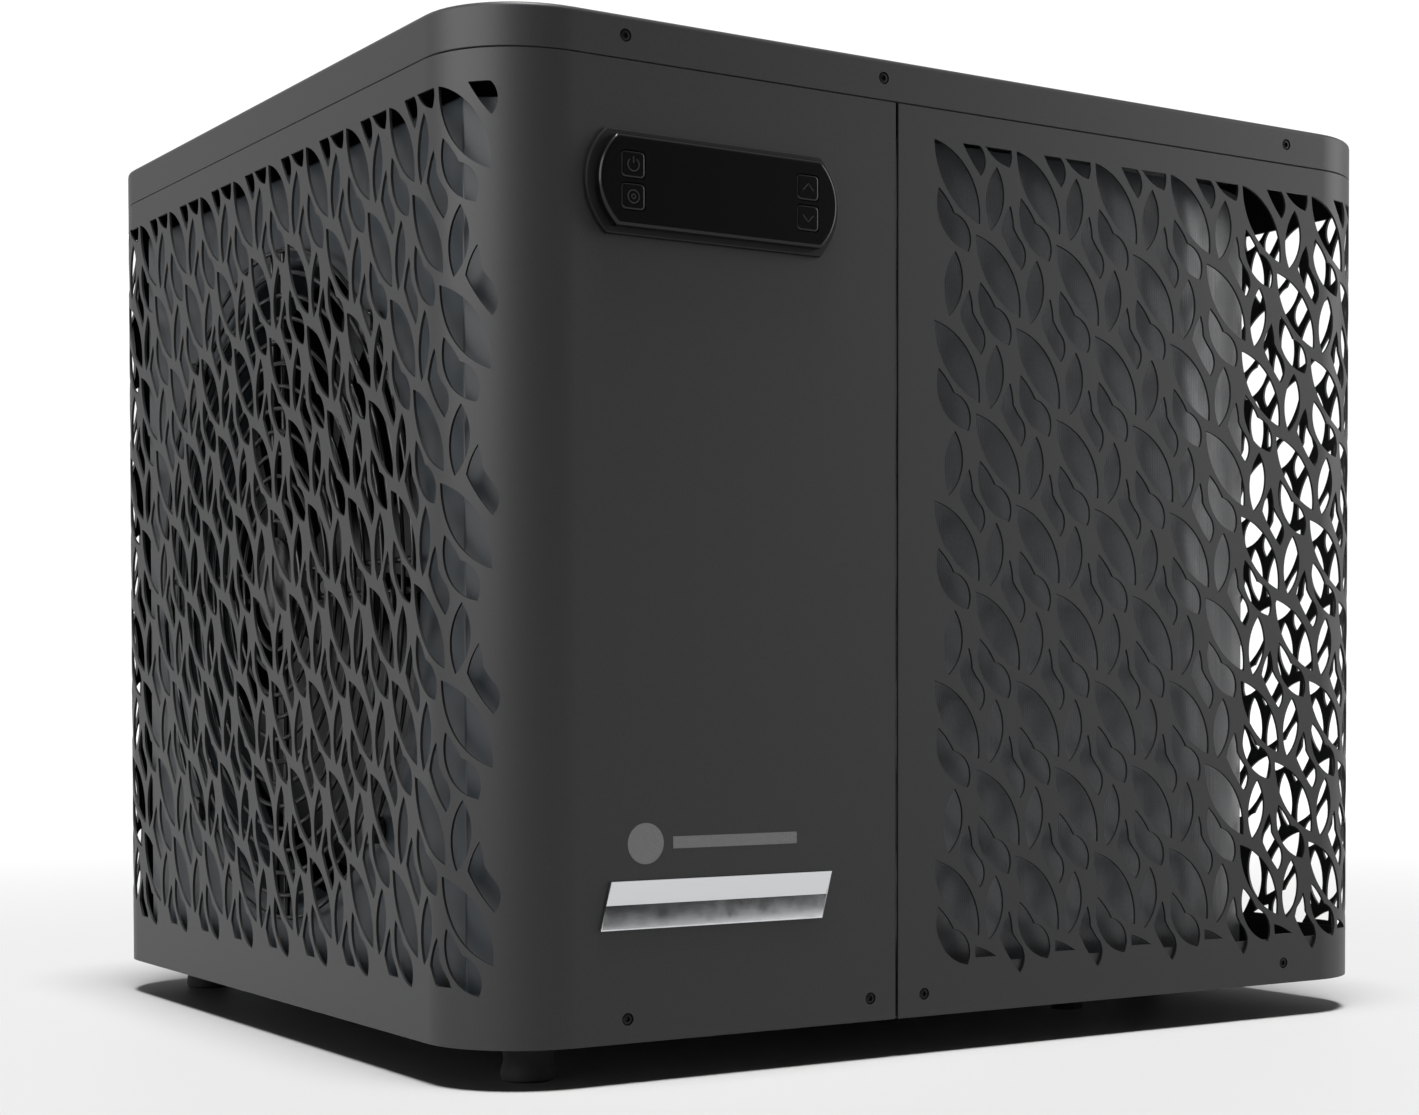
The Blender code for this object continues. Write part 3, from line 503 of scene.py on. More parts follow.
ends = (REAR_LEFT - REAR_FOLD, SEAM - SEAM_GAP / 2)
outlines = sheet_outlines(*ends, LID_SCREWS[:2], BASE_SCREWS[:2])
middle, (half_x, half_z) = CONTROL_X - BEND, CONTROL_OPENING
outlines.append([(middle + half_x * x, CONTROL_Z + half_z * z) for x, z in corners])
left_flat = flat_curve("left sheet", outlines)
left_bottoms = {"broad": FIELD_BOTTOM, "comma": 0, "lens": 0, "twist": FIELD_BOTTOM}
add_leaves(left_flat, LEFT_TIP, REAR_LEFT + PLAIN_END, -PLAIN_END, left_bottoms, 6)
add_tree(left_flat, blank, {"Coat": powder_coat})
left_panel = bent_sheet("left_panel", plain_mesh(left_flat), *ends, powder_coat)
settle(left_panel, ["left_wrap_panel"])

ends = (SEAM + SEAM_GAP / 2, REAR_RIGHT + REAR_FOLD)
right_flat = flat_curve("right sheet", sheet_outlines(*ends, LID_SCREWS[2:], BASE_SCREWS[2:]))
right_bottoms = {"broad": FIELD_BOTTOM, "comma": 0, "lens": 0, "twist": 0}
add_leaves(right_flat, RIGHT_TIP, RIGHT_TIP - 0.05, REAR_RIGHT - PLAIN_END, right_bottoms, 4)
add_tree(right_flat, blank, {"Coat": powder_coat})
right_panel = bent_sheet("right_panel", plain_mesh(right_flat), *ends, powder_coat)
settle(right_panel, ["right_wrap_panel"])
for curve in leaf_curves.values():
    bpy.data.objects.remove(curve, do_unlink=True)


# Top lid: one pressed steel sheet with rounded corners and a skirt that covers the panels' tops, powder
# coated like them. Three screws in recessed holes hold its front.
LID_TOP, LID_BOTTOM = 420, 402.1
SMOOTH = math.radians(35)


def outline_ring(inset, z, steps=14):
    """The cabinet's outline, set in, at one height."""
    stops = bend_lines(-0.001, sum(FLATS) + 4 * ARC, steps)
    return [(*around(stop, inset)[0], z) for stop in stops]


def stacked(name, rings, coat, loop=False, sharp=SMOOTH, mesh_only=False):
    """A closed piece through rings of places, each joined to the next; its ends are filled, or meet."""
    count = len(rings[0])
    mesh = bpy.data.meshes.new(name)
    faces = []
    for i in range(len(rings) if loop else len(rings) - 1):
        here, there = i * count, (i + 1) % len(rings) * count
        for j in range(count):
            k = (j + 1) % count
            faces.append((here + j, here + k, there + k, there + j))
    if not loop:
        faces += [range(count), range(count * len(rings) - count, count * len(rings))]
    mesh.from_pydata([place(*point) for ring in rings for point in ring], [], faces)
    form = bmesh.new()
    form.from_mesh(mesh)
    bmesh.ops.recalc_face_normals(form, faces=form.faces)
    form.to_mesh(mesh)
    form.free()
    mesh.materials.append(coat)
    mesh.shade_smooth()
    mesh.set_sharp_from_angle(angle=sharp)
    return mesh if mesh_only else link(name, mesh)


def turned(name, profile, coat, centre, axis="Z", sides=64, loop=False, mesh_only=False):
    """A lathe-turned piece: a profile of (radius, place along the axis) turned about an axis."""
    rings = []
    for radius, along in profile:
        ring = []
        for i in range(sides):
            turn = 2 * math.pi * i / sides
            a, b = centre[0] + radius * math.cos(turn), centre[1] + radius * math.sin(turn)
            ring.append({"X": (along, a, b), "Y": (a, along, b), "Z": (a, b, along)}[axis])
        rings.append(ring)
    return stacked(name, rings, coat, loop, mesh_only=mesh_only)


def cut(piece, cutters):
    """Cuts meshes out of a piece, and evens the shading of its flats."""
    for mesh in cutters:
        cutter = link("cutter", mesh)
        hole = piece.modifiers.new("hole", "BOOLEAN")
        hole.operation, hole.object = "DIFFERENCE", cutter
    tools = [modifier.object for modifier in piece.modifiers]
    name = piece.name
    piece.name = "uncut"
    mesh = plain_mesh(piece)
    for tool in tools:
        bpy.data.objects.remove(tool, do_unlink=True)
    mesh.set_sharp_from_angle(angle=SMOOTH)
    return link(name, mesh)


def even(piece):
    """Lets a piece's large flats lead its shading, so that they stay flat beside their rounded edges."""
    piece.modifiers.new("even", "WEIGHTED_NORMAL").keep_sharp = True
    name = piece.name
    piece.name = "uneven"
    return link(name, plain_mesh(piece))


EDGE = 2.2
rounding = [math.pi / 2 * i / 5 for i in range(6)]
lid_rings = [outline_ring(SHEET, LID_TOP - SHEET), outline_ring(SHEET, LID_BOTTOM)]
lid_rings += [outline_ring(0.3, LID_BOTTOM), outline_ring(0, LID_BOTTOM + 0.3)]
lid_rings += [outline_ring(EDGE * (1 - math.cos(t)), LID_TOP - EDGE * (1 - math.sin(t))) for t in rounding]
lid = stacked("lid", lid_rings, powder_coat)
bore = [(SCREW_HOLE, -4), (SCREW_HOLE, 4)]
drills = [turned("drill", bore, powder_coat, (x, LID_SCREW_Z), "Y", 40, mesh_only=True) for x in LID_SCREWS]
lid = even(cut(lid, drills))
settle(lid, ["top_lid"])


# Rear panel: the same coated sheet, flat, with round holes for the water nozzles and the cable gland.
def coat_nodes(material, *names):
    """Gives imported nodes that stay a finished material."""
    for name in names:
        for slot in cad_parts[name].material_slots:
            slot.material = material


coat_nodes(powder_coat, "rear_panel", "base_pan")


# Screws: black zinc plated pan heads with a six-lobed socket, sunk in the skirt's and the panels' holes,
# and standing on the rear panel, where they also hold the folded edges. One tree places them all.
black_zinc = mottled(
    "black zinc", {"Metallic": 0.7, "Roughness": 0.4}, (900.0, 2.0), ((0, "0d0d0e"), (1, "1b1b1d"))
)

SCREW_SIDES, LOBES = 24, 6
SCREW_PROFILE = ((1.3, -6.5), (1.3, 0), (2.35, 0), (2.35, 0.45), (2.15, 0.85), (1.6, 1.0))
SOCKET, SOCKET_WAVE, SOCKET_DEPTHS = 1.12, 0.16, (1.0, 0.1)


def screw_mesh(facing):
    """One screw head and a short shank at the object's own origin, its axis along Y."""
    steps = [2 * math.pi * i / SCREW_SIDES for i in range(SCREW_SIDES)]
    lobed = [SOCKET + SOCKET_WAVE * math.cos(LOBES * turn) for turn in steps]
    levels = [([radius] * SCREW_SIDES, y) for radius, y in SCREW_PROFILE]
    levels += [(lobed, y) for y in SOCKET_DEPTHS]
    rings = []
    for radii, y in levels:
        rings.append([(r * math.cos(t), -y * facing, r * math.sin(t)) for r, t in zip(radii, steps)])
    mesh = stacked("screw", rings, black_zinc, mesh_only=True)
    mesh.transform(Matrix.Translation(-panel_low))
    return mesh


screws, given = new_tree("screws", {"Screw": "Object", "Coat": "Material"})
screw = add_node(screws, "GeometryNodeObjectInfo", {"Object": given["Screw"]})
copies = add_node(
    screws,
    "GeometryNodeInstanceOnPoints",
    {"Points": given["Geometry"], "Instance": screw.outputs["Geometry"]},
)
end_tree(screws, copies.outputs[0], given["Coat"])


def set_screws(name, places, facing, nodes=()):
    """Screws at places on the front, facing 1, or on the rear, facing -1."""
    one = link("one screw", screw_mesh(facing))
    spots = bpy.data.meshes.new("spots")
    spots.from_pydata([place(*spot) for spot in places], [], [])
    group = link("set", spots)
    add_tree(group, screws, {"Screw": one, "Coat": black_zinc})
    piece = link(name, plain_mesh(group))
    bpy.data.objects.remove(one, do_unlink=True)
    settle(piece, nodes)


SCREW_SEAT = 1.3
for row, across, z in (("lid_screw", LID_SCREWS, LID_SCREW_Z), ("base_screw", BASE_SCREWS, BASE_SCREW_Z)):
    stood_for = [f"{row}_{i + 1}" for i in range(len(across))]
    set_screws(row + "s", [(x, SCREW_SEAT, z) for x in across], 1, stood_for)
REAR_SCREWS_X, REAR_SCREWS_Z = (64, WIDTH - 64), (40, 150, 262, 372)
rear_places = [(x, DEPTH, z) for x in REAR_SCREWS_X for z in REAR_SCREWS_Z]
rear_places += [(x, DEPTH, LID_SCREW_Z) for x in (70, WIDTH / 2, WIDTH - 70)]
rear_places += [(x, DEPTH, BASE_SCREW_Z) for x in (120, WIDTH / 2, WIDTH - 120)]
set_screws("rear_screws", rear_places, -1)


# Brackets and feet: the brackets are galvanised steel with a spangle of zinc crystals about 6 mm
# across. The feet are moulded rubber, screwed on from below.
galvanised, tree, shader = surface("galvanised steel", {"Metallic": 1.0, "Roughness": 0.42})
here = add_node(tree, "ShaderNodeTexCoord").outputs["Object"]
spangle = add_node(tree, "ShaderNodeTexVoronoi", {"Vector": here, "Scale": 170.0})
zinc = add_node(tree, "ShaderNodeValToRGB", {"Fac": spangle.outputs["Color"]})
set_ramp(zinc, ((0, "7d8183"), (1, "a2a6a8")))
dull = add_node(
    tree, "ShaderNodeMapRange", {"Value": spangle.outputs["Distance"], "To Min": 0.36, "To Max": 0.52}
)
tree.links.new(zinc.outputs[0], shader.inputs["Base Color"])
tree.links.new(dull.outputs[0], shader.inputs["Roughness"])
coat_nodes(galvanised, "motor_bracket", "electrical_box", "electrical_box_cover")

rubber = mottled(
    "moulded rubber",
    {"Roughness": 0.75, "Specular IOR Level": 0.4},
    (420.0, 4.0),
    ((0, "0c0c0c"), (1, "1c1c1c")),
    (0.2, 0.0002),
)
coat_nodes(rubber, "compressor_grommet_1", "compressor_grommet_2", "compressor_grommet_3")

FEET = {
    "foot_front_left": (41, 36),
    "foot_rear_left": (41, 420),
    "foot_front_right": (455, 128),
    "foot_rear_right": (455, 420),
}
foot_profile = [(0.5, -6), (3.2, -6), (3.2, -0.6), (10.2, -0.6), (10.8, -1.2), (10.4, -9.5), (11.2, -11)]
foot_profile += [(11.6, -14.2), (11.3, -16.2), (10.4, -17), (8, -17), (7.4, -16.2), (0.5, -16.2)]
for node, spot in FEET.items():
    foot = turned("rubber_" + node, foot_profile, rubber, spot)
    settle(foot, [node])


# Control panel: a moulded black bezel screwed through the sheet from behind, a gloss front plate with
# rounded ends snapped on it, and four square keys whose caps stand level with the plate.
def moulded(name, low, high, roughness, grain, relief, shine=0.5):
    """A moulded plastic: close shades mottled over a fine spark-eroded grain, in millimetres."""
    inputs = {"Roughness": roughness, "Specular IOR Level": shine}
    return mottled(name, inputs, (1000 / grain, 3.0), ((0, low), (1, high)), (relief, 0.0001))


black_plastic = moulded("black ABS", "060606", "0c0c0c", 0.5, 0.5, 0.12, 0.25)
gloss_black = moulded("gloss black ABS", "040404", "060606", 0.22, 3.0, 0.01, 0.3)
sign_ink = moulded("grey sign ink", "131313", "191919", 0.5, 1.0, 0.02, 0.3)
coat_nodes(black_plastic, "compressor_terminal_cover", "cable_gland", "drain_nozzle")

BEZEL, FRONT_PLATE, END_BULGE = (61.3, 21.3), (57.5, 18.6), 9.5
KEY, KEY_GAP, KEY_X, KEY_Z = 10.9, 0.2, 42.2, 6.45
PLATE_FACE = -7.0


def bulged_ring(half, inset, y, steps=20):
    """The control panel's outline at one depth: straight above and below, with bulging ends."""
    half_x, half_z = half[0] - inset, half[1] - inset
    bulge = END_BULGE * half_z / BEZEL[1]
    radius = (half_z**2 + bulge**2) / (2 * bulge)
    spread = math.asin(half_z / radius)
    turns = [spread * (2 * i / steps - 1) for i in range(steps + 1)]
    right = [(half_x - radius + radius * math.cos(turn), radius * math.sin(turn)) for turn in turns]
    both = right + [(-x, -z) for x, z in right]
    return [(CONTROL_X + x, y, CONTROL_Z + z) for x, z in both]


def square_ring(x, z, half, radius, y, steps=5):
    """A square with rounded corners at one depth on the front."""
    ring = []
    for i, (a, b) in enumerate(((1, 1), (-1, 1), (-1, -1), (1, -1))):
        mid_x, mid_z = x + a * (half - radius), z + b * (half - radius)
        for j in range(steps + 1):
            turn = math.pi / 2 * (i + j / steps)
            ring.append((mid_x + radius * math.cos(turn), y, mid_z + radius * math.sin(turn)))
    return ring


bezel_levels = ((0, -0.3), (0, -1.6), (0.3, -2.2), (0.9, -2.5))
bezel = even(stacked("bezel", [bulged_ring(BEZEL, inset, y) for inset, y in bezel_levels], black_plastic))
settle(bezel, ["control_housing"])

PLUG_DEPTH, PLUG_GAP, PLUG_EDGE = 16, 0.6, 0.8
half_x, half_z = CONTROL_OPENING[0] - PLUG_GAP, CONTROL_OPENING[1] - PLUG_GAP
plug_rings = []
short_z = half_z - PLUG_EDGE
for z, inset in ((-half_z, PLUG_EDGE), (-short_z, 0), (short_z, 0), (half_z, PLUG_EDGE)):
    x0, x1 = CONTROL_X - half_x + inset, CONTROL_X + half_x - inset
    y0, y1 = inset - 0.2, PLUG_DEPTH - inset
    corner_cuts = ((x0, y0, 1, 0), (x1, y0, -1, 0), (x1, y0, 0, 1), (x1, y1, 0, -1), (x1, y1, -1, 0),
                   (x0, y1, 1, 0), (x0, y1, 0, -1), (x0, y0, 0, 1))
    plug_rings.append([(x + a * PLUG_EDGE, y + b * PLUG_EDGE, CONTROL_Z + z) for x, y, a, b in corner_cuts])
plug = stacked("control_box", plug_rings, black_plastic)
settle(plug)

plate_levels = ((0.5, -2.55), (0.2, -2.8), (0, -3.2), (0, -5.4), (0.15, -6.1), (0.5, -6.65), (1.0, -6.9))
plate_rings = [bulged_ring(FRONT_PLATE, inset, y) for inset, y in (*plate_levels, (1.7, PLATE_FACE))]
plate = stacked("front_plate", plate_rings, gloss_black)
KEYS = {"left_upper": (-1, 1), "left_lower": (-1, -1), "right_upper": (1, 1), "right_lower": (1, -1)}
openings = []
for side, level in KEYS.values():
    at = (CONTROL_X + side * KEY_X, CONTROL_Z + level * KEY_Z)
    rings = [square_ring(*at, KEY / 2 + KEY_GAP, 1.9, y) for y in (-2, -8)]
    openings.append(stacked("opening", rings, gloss_black, mesh_only=True))
plate = even(cut(plate, openings))
settle(plate, ["control_plate"])


# Key caps: gloss ABS with rounded edges, each with its sign raised 0.1 mm: on and off, mode, up, down.
def stroke(points, closed, width, y_back, y_front):
    """A raised line of one width along flat points, as the places and faces of one body."""
    line = [Vector(point) for point in points]
    left, right = [], []
    count = len(line)
    for i, point in enumerate(line):
        before = line[i - 1] if closed or i else point
        after = line[(i + 1) % count] if closed or i < count - 1 else point
        along = (after - before).normalized()
        aside = Vector((-along.y, along.x)) * width / 2
        left.append(point + aside)
        right.append(point - aside)
    rings = []
    for p, q in zip(left, right):
        rings.append([(p.x, y_back, p.y), (q.x, y_back, q.y), (q.x, y_front, q.y), (p.x, y_front, p.y)])
    return rings


def arc_points(radius, start, step, count):
    turns = [start + step * i for i in range(count)]
    return [(radius * math.sin(turn), radius * math.cos(turn)) for turn in turns]


signs = {
    "left_upper": [(arc_points(2.6, 0.6, 0.2, 26), False), ([(0, 0.6), (0, 3.2)], False)],
    "left_lower": [(arc_points(2.6, 0, 0.35, 18), True), (arc_points(0.9, 0, 0.7, 9), True)],
    "right_upper": [([(-2.6, -1.2), (0, 1.6), (2.6, -1.2)], False)],
    "right_lower": [([(-2.6, 1.2), (0, -1.6), (2.6, 1.2)], False)],
}
KEY_PROFILE = ((0.1, -3.3), (0, -3.5), (0, -6.4), (0.15, -6.75), (0.5, -7.0), (1.0, -7.05))
SIGN_WIDTH, SIGN_BACK, SIGN_FACE = 0.55, -6.9, -7.2
for name, (side, level) in KEYS.items():
    x, z = CONTROL_X + side * KEY_X, CONTROL_Z + level * KEY_Z
    rings = [square_ring(x, z, KEY / 2 - inset, 1.7, y) for inset, y in KEY_PROFILE]
    cap = even(stacked("key_cap_" + name, rings, gloss_black))
    form = bmesh.new()
    form.from_mesh(cap.data)
    for points, closed in signs[name]:
        rings = stroke([(x + a, z + b) for a, b in points], closed, SIGN_WIDTH, SIGN_BACK, SIGN_FACE)
        sign = stacked("sign", rings, sign_ink, loop=closed, mesh_only=True)
        form.from_mesh(sign)
    form.faces.ensure_lookup_table()
    for face in form.faces[len(cap.data.polygons) :]:
        face.material_index = 1
    form.to_mesh(cap.data)
    cap.data.materials.append(sign_ink)
    form.free()
    settle(cap, ["key_" + name], "key_" + name)


# Badges: a plain slanted bar, zinc die-cast and chrome plated, folded to a ridge along its middle, and
# above it a plain printed stripe with a disc, in grey metallic ink.
bright = {"Metallic": 1.0, "Base Color": coloured("d6d8da")}
chrome = mottled("bright chrome", bright, (140.0, 4.0), haze=(0.05, 0.2))
bar_low, bar_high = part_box("nameplate")
BAR_X = [1000 * (value - panel_low.x) for value in (bar_low.x, bar_high.x)]
BAR_Z = [1000 * (value - panel_low.z) for value in (bar_low.z, bar_high.z)]
LEAN, GROOVE = 5, 0.8
BAR_FACE = -2.05


def bar_half(z_low, z_high, middle_is_high):
    """One half of the bar: its face slopes in towards the bar's middle."""
    rings = []
    for inset, y in ((0, -0.3), (0, BAR_FACE + 0.2), (0.25, BAR_FACE), (0.6, BAR_FACE)):
        ring = []
        for z, ends in ((z_low, (0, 1)), (z_high, (1, 0))):
            at_middle = (z == z_high) == middle_is_high
            lean = LEAN * (z - BAR_Z[0]) / (BAR_Z[1] - BAR_Z[0])
            pull = 0 if at_middle else inset if z == z_low else -inset
            sunk = GROOVE if at_middle and inset else 0
            for end in ends:
                x = BAR_X[1] - LEAN + lean - inset if end else BAR_X[0] + lean + inset
                ring.append((x, y + sunk, z + pull))
        rings.append(ring)
    return stacked("bar half", rings, chrome, sharp=math.radians(8), mesh_only=True)


def gather(name, meshes, coat):
    """Several closed bodies as one piece."""
    form = bmesh.new()
    for mesh in meshes:
        form.from_mesh(mesh)
    whole = bpy.data.meshes.new(name)
    form.to_mesh(whole)
    form.free()
    whole.materials.append(coat)
    return link(name, whole)


bar_middle = sum(BAR_Z) / 2
halves = [bar_half(BAR_Z[0], bar_middle, True), bar_half(bar_middle, BAR_Z[1], False)]
bar = gather("chrome_bar", halves, chrome)
settle(bar, ["nameplate"])

metallic_ink = mottled(
    "grey metallic ink",
    {"Metallic": 0.6, "Roughness": 0.4},
    (5000.0, 2.0),
    ((0.35, "4a4a4b"), (0.65, "8a8a8b")),
)
STRIPE = ((90, 79.5), (151, 84.5))
DISC = (77, 82, 8.5)
(x0, z0), (x1, z1) = STRIPE
stripe_rings = [[(x0, y, z0), (x1, y, z0), (x1, y, z1), (x0, y, z1)] for y in (-0.02, -0.12)]
stripe = stacked("grey_stripe", stripe_rings, metallic_ink)
settle(stripe)
disc = turned("grey_disc", [(DISC[2], -0.02), (DISC[2], -0.12)], metallic_ink, DISC[:2], "Y")
settle(disc)


# Fan shroud: a slate painted steel pan behind the left panel, its round opening drawn into a collar
# that the fan runs in. Its folded edges reach back towards the coil.
def painted(name, low, high, roughness):
    """A baked paint on steel: close shades mottled over an orange peel of about 1 mm."""
    return mottled(name, {"Roughness": roughness}, (900.0, 3.0), ((0, low), (1, high)), (0.1, 0.0001))


slate_paint = painted("slate grey paint", "20262b", "2a3036", 0.42)
black_paint = painted("satin black paint", "0d0d0e", "151516", 0.38)
wire_coat = painted("black wire coating", "080808", "101010", 0.3)
FAN_Y, FAN_Z = 229.5, 194.0
SHROUD_LOW, SHROUD_HIGH = (12.0, 33.0, 4.0), (42.0, DEPTH - 33.0, 387.0)
COLLAR = 149.5
RAYS = 128
turns = [2 * math.pi * i / RAYS for i in range(RAYS)]
for y in (SHROUD_LOW[1], SHROUD_HIGH[1]):
    for z in (SHROUD_LOW[2], SHROUD_HIGH[2]):
        towards = math.atan2(z - FAN_Z, y - FAN_Y) % (2 * math.pi)
        nearest = min(range(RAYS), key=lambda i: abs(turns[i] - towards))
        turns[nearest] = towards


def collar_ring(radius, x):
    return [(x, FAN_Y + radius * math.cos(turn), FAN_Z + radius * math.sin(turn)) for turn in turns]


def pan_ring(inset, x):
    """The pan's four-sided edge at one depth, on the same rays as the collar's points."""
    ring = []
    for turn in turns:
        y_way, z_way = math.cos(turn), math.sin(turn)
        reach_y = (SHROUD_HIGH[1] - inset - FAN_Y) / abs(y_way) if abs(y_way) > 1e-6 else 1e6
        z_edge = SHROUD_HIGH[2] - inset - FAN_Z if z_way > 0 else FAN_Z - SHROUD_LOW[2] - inset
        reach = min(reach_y, z_edge / abs(z_way) if abs(z_way) > 1e-6 else 1e6)
        ring.append((x, FAN_Y + reach * y_way, FAN_Z + reach * z_way))
    return ring


face, back = SHROUD_LOW[0], SHROUD_HIGH[0]
shroud_rings = [collar_ring(COLLAR, back - 2)]
shroud_rings += [collar_ring(COLLAR + 4 - 4 * math.cos(t), face + 4 - 4 * math.sin(t)) for t in rounding]
shroud_rings += [pan_ring(2 - 2 * math.sin(t), face + 2 - 2 * math.cos(t)) for t in rounding]
shroud_rings += [pan_ring(0, back), pan_ring(SHEET, back), pan_ring(SHEET, face + 3)]
shroud_rings += [pan_ring(SHEET + 1, face + SHEET + 0.5), pan_ring(SHEET + 2, face + SHEET)]
shroud_rings += [collar_ring(COLLAR + 5, face + SHEET), collar_ring(COLLAR + SHEET + 0.5, face + SHEET + 3)]
shroud_rings += [collar_ring(COLLAR + SHEET, face + 7), collar_ring(COLLAR + SHEET, back - 2)]
shroud = even(stacked("fan_pan", shroud_rings, slate_paint, loop=True))
settle(shroud, ["fan_shroud"])

# Its front edge is closed towards the cabinet's corner by a slanted flange
edge_y = SHROUD_LOW[1]
flange_line = [(face + 0.4, edge_y - 0.2), (34.0, 11.5), (34.9, 12.4), (face + 1.3, edge_y + 0.7)]
flange_levels = (SHROUD_LOW[2] + 2, SHROUD_HIGH[2] - 2)
flange = stacked("shroud_flange", [[(x, y, z) for x, y in flange_line] for z in flange_levels], slate_paint)
settle(flange)


# Fan guard: rings of 2.2 mm steel wire at a finger-safe 10.5 mm, welded to a cross of paired spokes and
# dipped in black plastic, on four lugs. One tree makes the rings and sweeps all the wires.
GUARD_R, GUARD_X = 158.0, 7.0
RING_WIRE, SPOKE_WIRE, RING_PITCH, RINGS = 1.1, 1.4, 10.5, 14
SPOKE_APART = 6.5
guard, given = new_tree(
    "wire guard",
    {"Rings": "Int", "Pitch": "Float", "Outer": "Float", "Ring Wire": "Float", "Spoke Wire": "Float",
     "Spoke Lift": "Float", "Coat": "Material"},
)
number = add_node(guard, "GeometryNodeInputIndex").outputs[0]
inwards = add_node(guard, "ShaderNodeMath", {0: number, 1: given["Pitch"]}, operation="MULTIPLY")
radius = add_node(guard, "ShaderNodeMath", {0: given["Outer"], 1: inwards.outputs[0]}, operation="SUBTRACT")
middles = add_node(guard, "GeometryNodePoints", {"Count": given["Rings"]})
circle = add_node(guard, "GeometryNodeCurvePrimitiveCircle", {"Resolution": 96, "Radius": 1.0})
hoops = add_node(
    guard,
    "GeometryNodeInstanceOnPoints",
    {"Points": middles.outputs[0], "Instance": circle.outputs["Curve"], "Scale": radius.outputs[0]},
)
real = add_node(guard, "GeometryNodeRealizeInstances", {"Geometry": hoops.outputs[0]})
ring_section = add_node(
    guard, "GeometryNodeCurvePrimitiveCircle", {"Resolution": 8, "Radius": given["Ring Wire"]}
)
rings = add_node(
    guard,
    "GeometryNodeCurveToMesh",
    {"Curve": real.outputs[0], "Profile Curve": ring_section.outputs["Curve"]},
)
lines = add_node(guard, "GeometryNodeMeshToCurve", {"Mesh": given["Geometry"]})
spoke_section = add_node(
    guard, "GeometryNodeCurvePrimitiveCircle", {"Resolution": 10, "Radius": given["Spoke Wire"]}
)
spokes = add_node(
    guard,
    "GeometryNodeCurveToMesh",
    {"Curve": lines.outputs[0], "Profile Curve": spoke_section.outputs["Curve"], "Fill Caps": True},
)
lift = add_node(guard, "ShaderNodeCombineXYZ", {"Z": given["Spoke Lift"]})
lifted = add_node(
    guard, "GeometryNodeTransform", {"Geometry": spokes.outputs[0], "Translation": lift.outputs[0]}
)
both = add_node(guard, "GeometryNodeJoinGeometry", {"Geometry": rings.outputs[0]})
guard.links.new(lifted.outputs[0], both.inputs[0])
smooth = add_node(guard, "GeometryNodeSetShadeSmooth", {"Geometry": both.outputs[0]})
end_tree(guard, smooth.outputs[0], given["Coat"])

spoke_points, spoke_ends = [], []
for way in range(4):
    ahead = Vector((math.cos(way * math.pi / 2), math.sin(way * math.pi / 2), 0))
    aside = Vector((-ahead.y, ahead.x, 0)) * SPOKE_APART
    for side in (-1, 1):
        spoke_ends.append((len(spoke_points), len(spoke_points) + 1))
        spoke_points += [ahead * 21 + aside * side, ahead * (GUARD_R - 1) + aside * side]
spoke_lines = bpy.data.meshes.new("spokes")
spoke_lines.from_pydata(spoke_points, spoke_ends, [])
wires = link("wires", spoke_lines)
guard_sizes = {"Rings": RINGS, "Pitch": RING_PITCH, "Outer": GUARD_R - 1.5, "Ring Wire": RING_WIRE,
               "Spoke Wire": SPOKE_WIRE, "Spoke Lift": RING_WIRE + 0.9, "Coat": wire_coat}
add_tree(wires, guard, guard_sizes)
wire_mesh = plain_mesh(wires)
upright = Matrix(((0, 0, 1, GUARD_X), (1, 0, 0, FAN_Y), (0, 1, 0, FAN_Z), (0, 0, 0, 1)))
wire_mesh.transform(Matrix.Translation(panel_low) @ Matrix.Scale(0.001, 4) @ upright)
wires = link("wire_guard", wire_mesh)
settle(wires, ["fan_guard"])
centre_profile = [(21, 8.9), (22.5, 8.4), (22.5, 6.6), (21, 6.1)]
hub_plate = turned("guard_centre", centre_profile, wire_coat, (FAN_Y, FAN_Z), "X")
settle(hub_plate)
LUG_RADIUS, LUG_PROFILE = 155.5, [(3, 5.4), (6, 5.4), (6.2, 5.8), (6.2, 11.2), (5.8, 11.6)]
for i in range(4):
    turn = math.pi / 4 + i * math.pi / 2
    at = (FAN_Y + LUG_RADIUS * math.cos(turn), FAN_Z + LUG_RADIUS * math.sin(turn))
    lug = turned(f"guard_lug_{i + 1}", LUG_PROFILE, wire_coat, at, "X", 32)
    settle(lug)


# Fan: five broad blades swept forward on a domed hub, moulded in one piece of glass-filled nylon, on a
# steel shaft with a nut.
glass_nylon = moulded("glass-filled nylon", "0a0b0b", "121313", 0.4, 1.2, 0.15)
FAN_R, BLADES, BLADE_T = 145.0, 5, 2.2
ROOT_R, ROOT_CHORD, ROOT_DEPTH, TAPER, SWEEP, BLADE_X, CAMBER = 33, 64, 44, 10, 20, 52, 6


def blade_rings(start, stations=12, steps=14):
    """One blade from root to tip: each ring goes round the blade's section, thinner at its edges."""
    rings = []
    for i in range(stations + 1):
        share = i / stations
        radius = ROOT_R + share * (FAN_R - ROOT_R)
        chord = math.radians(ROOT_CHORD - TAPER * share)
        depth = ROOT_DEPTH - TAPER * share
        sweep = math.radians(SWEEP) * share**2
        ring = []
        for way, stops in ((-1, range(steps + 1)), (1, range(steps, -1, -1))):
            for j in stops:
                v = j / steps - 0.5
                turn = start + sweep + v * chord
                thick = way * BLADE_T / 2 * math.sqrt(max(0.02, 1 - (2 * v) ** 4))
                x = BLADE_X - v * depth + CAMBER * (4 * v * v - 1) + thick
                ring.append((x, FAN_Y + radius * math.cos(turn), FAN_Z + radius * math.sin(turn)))
        rings.append(ring)
    return rings


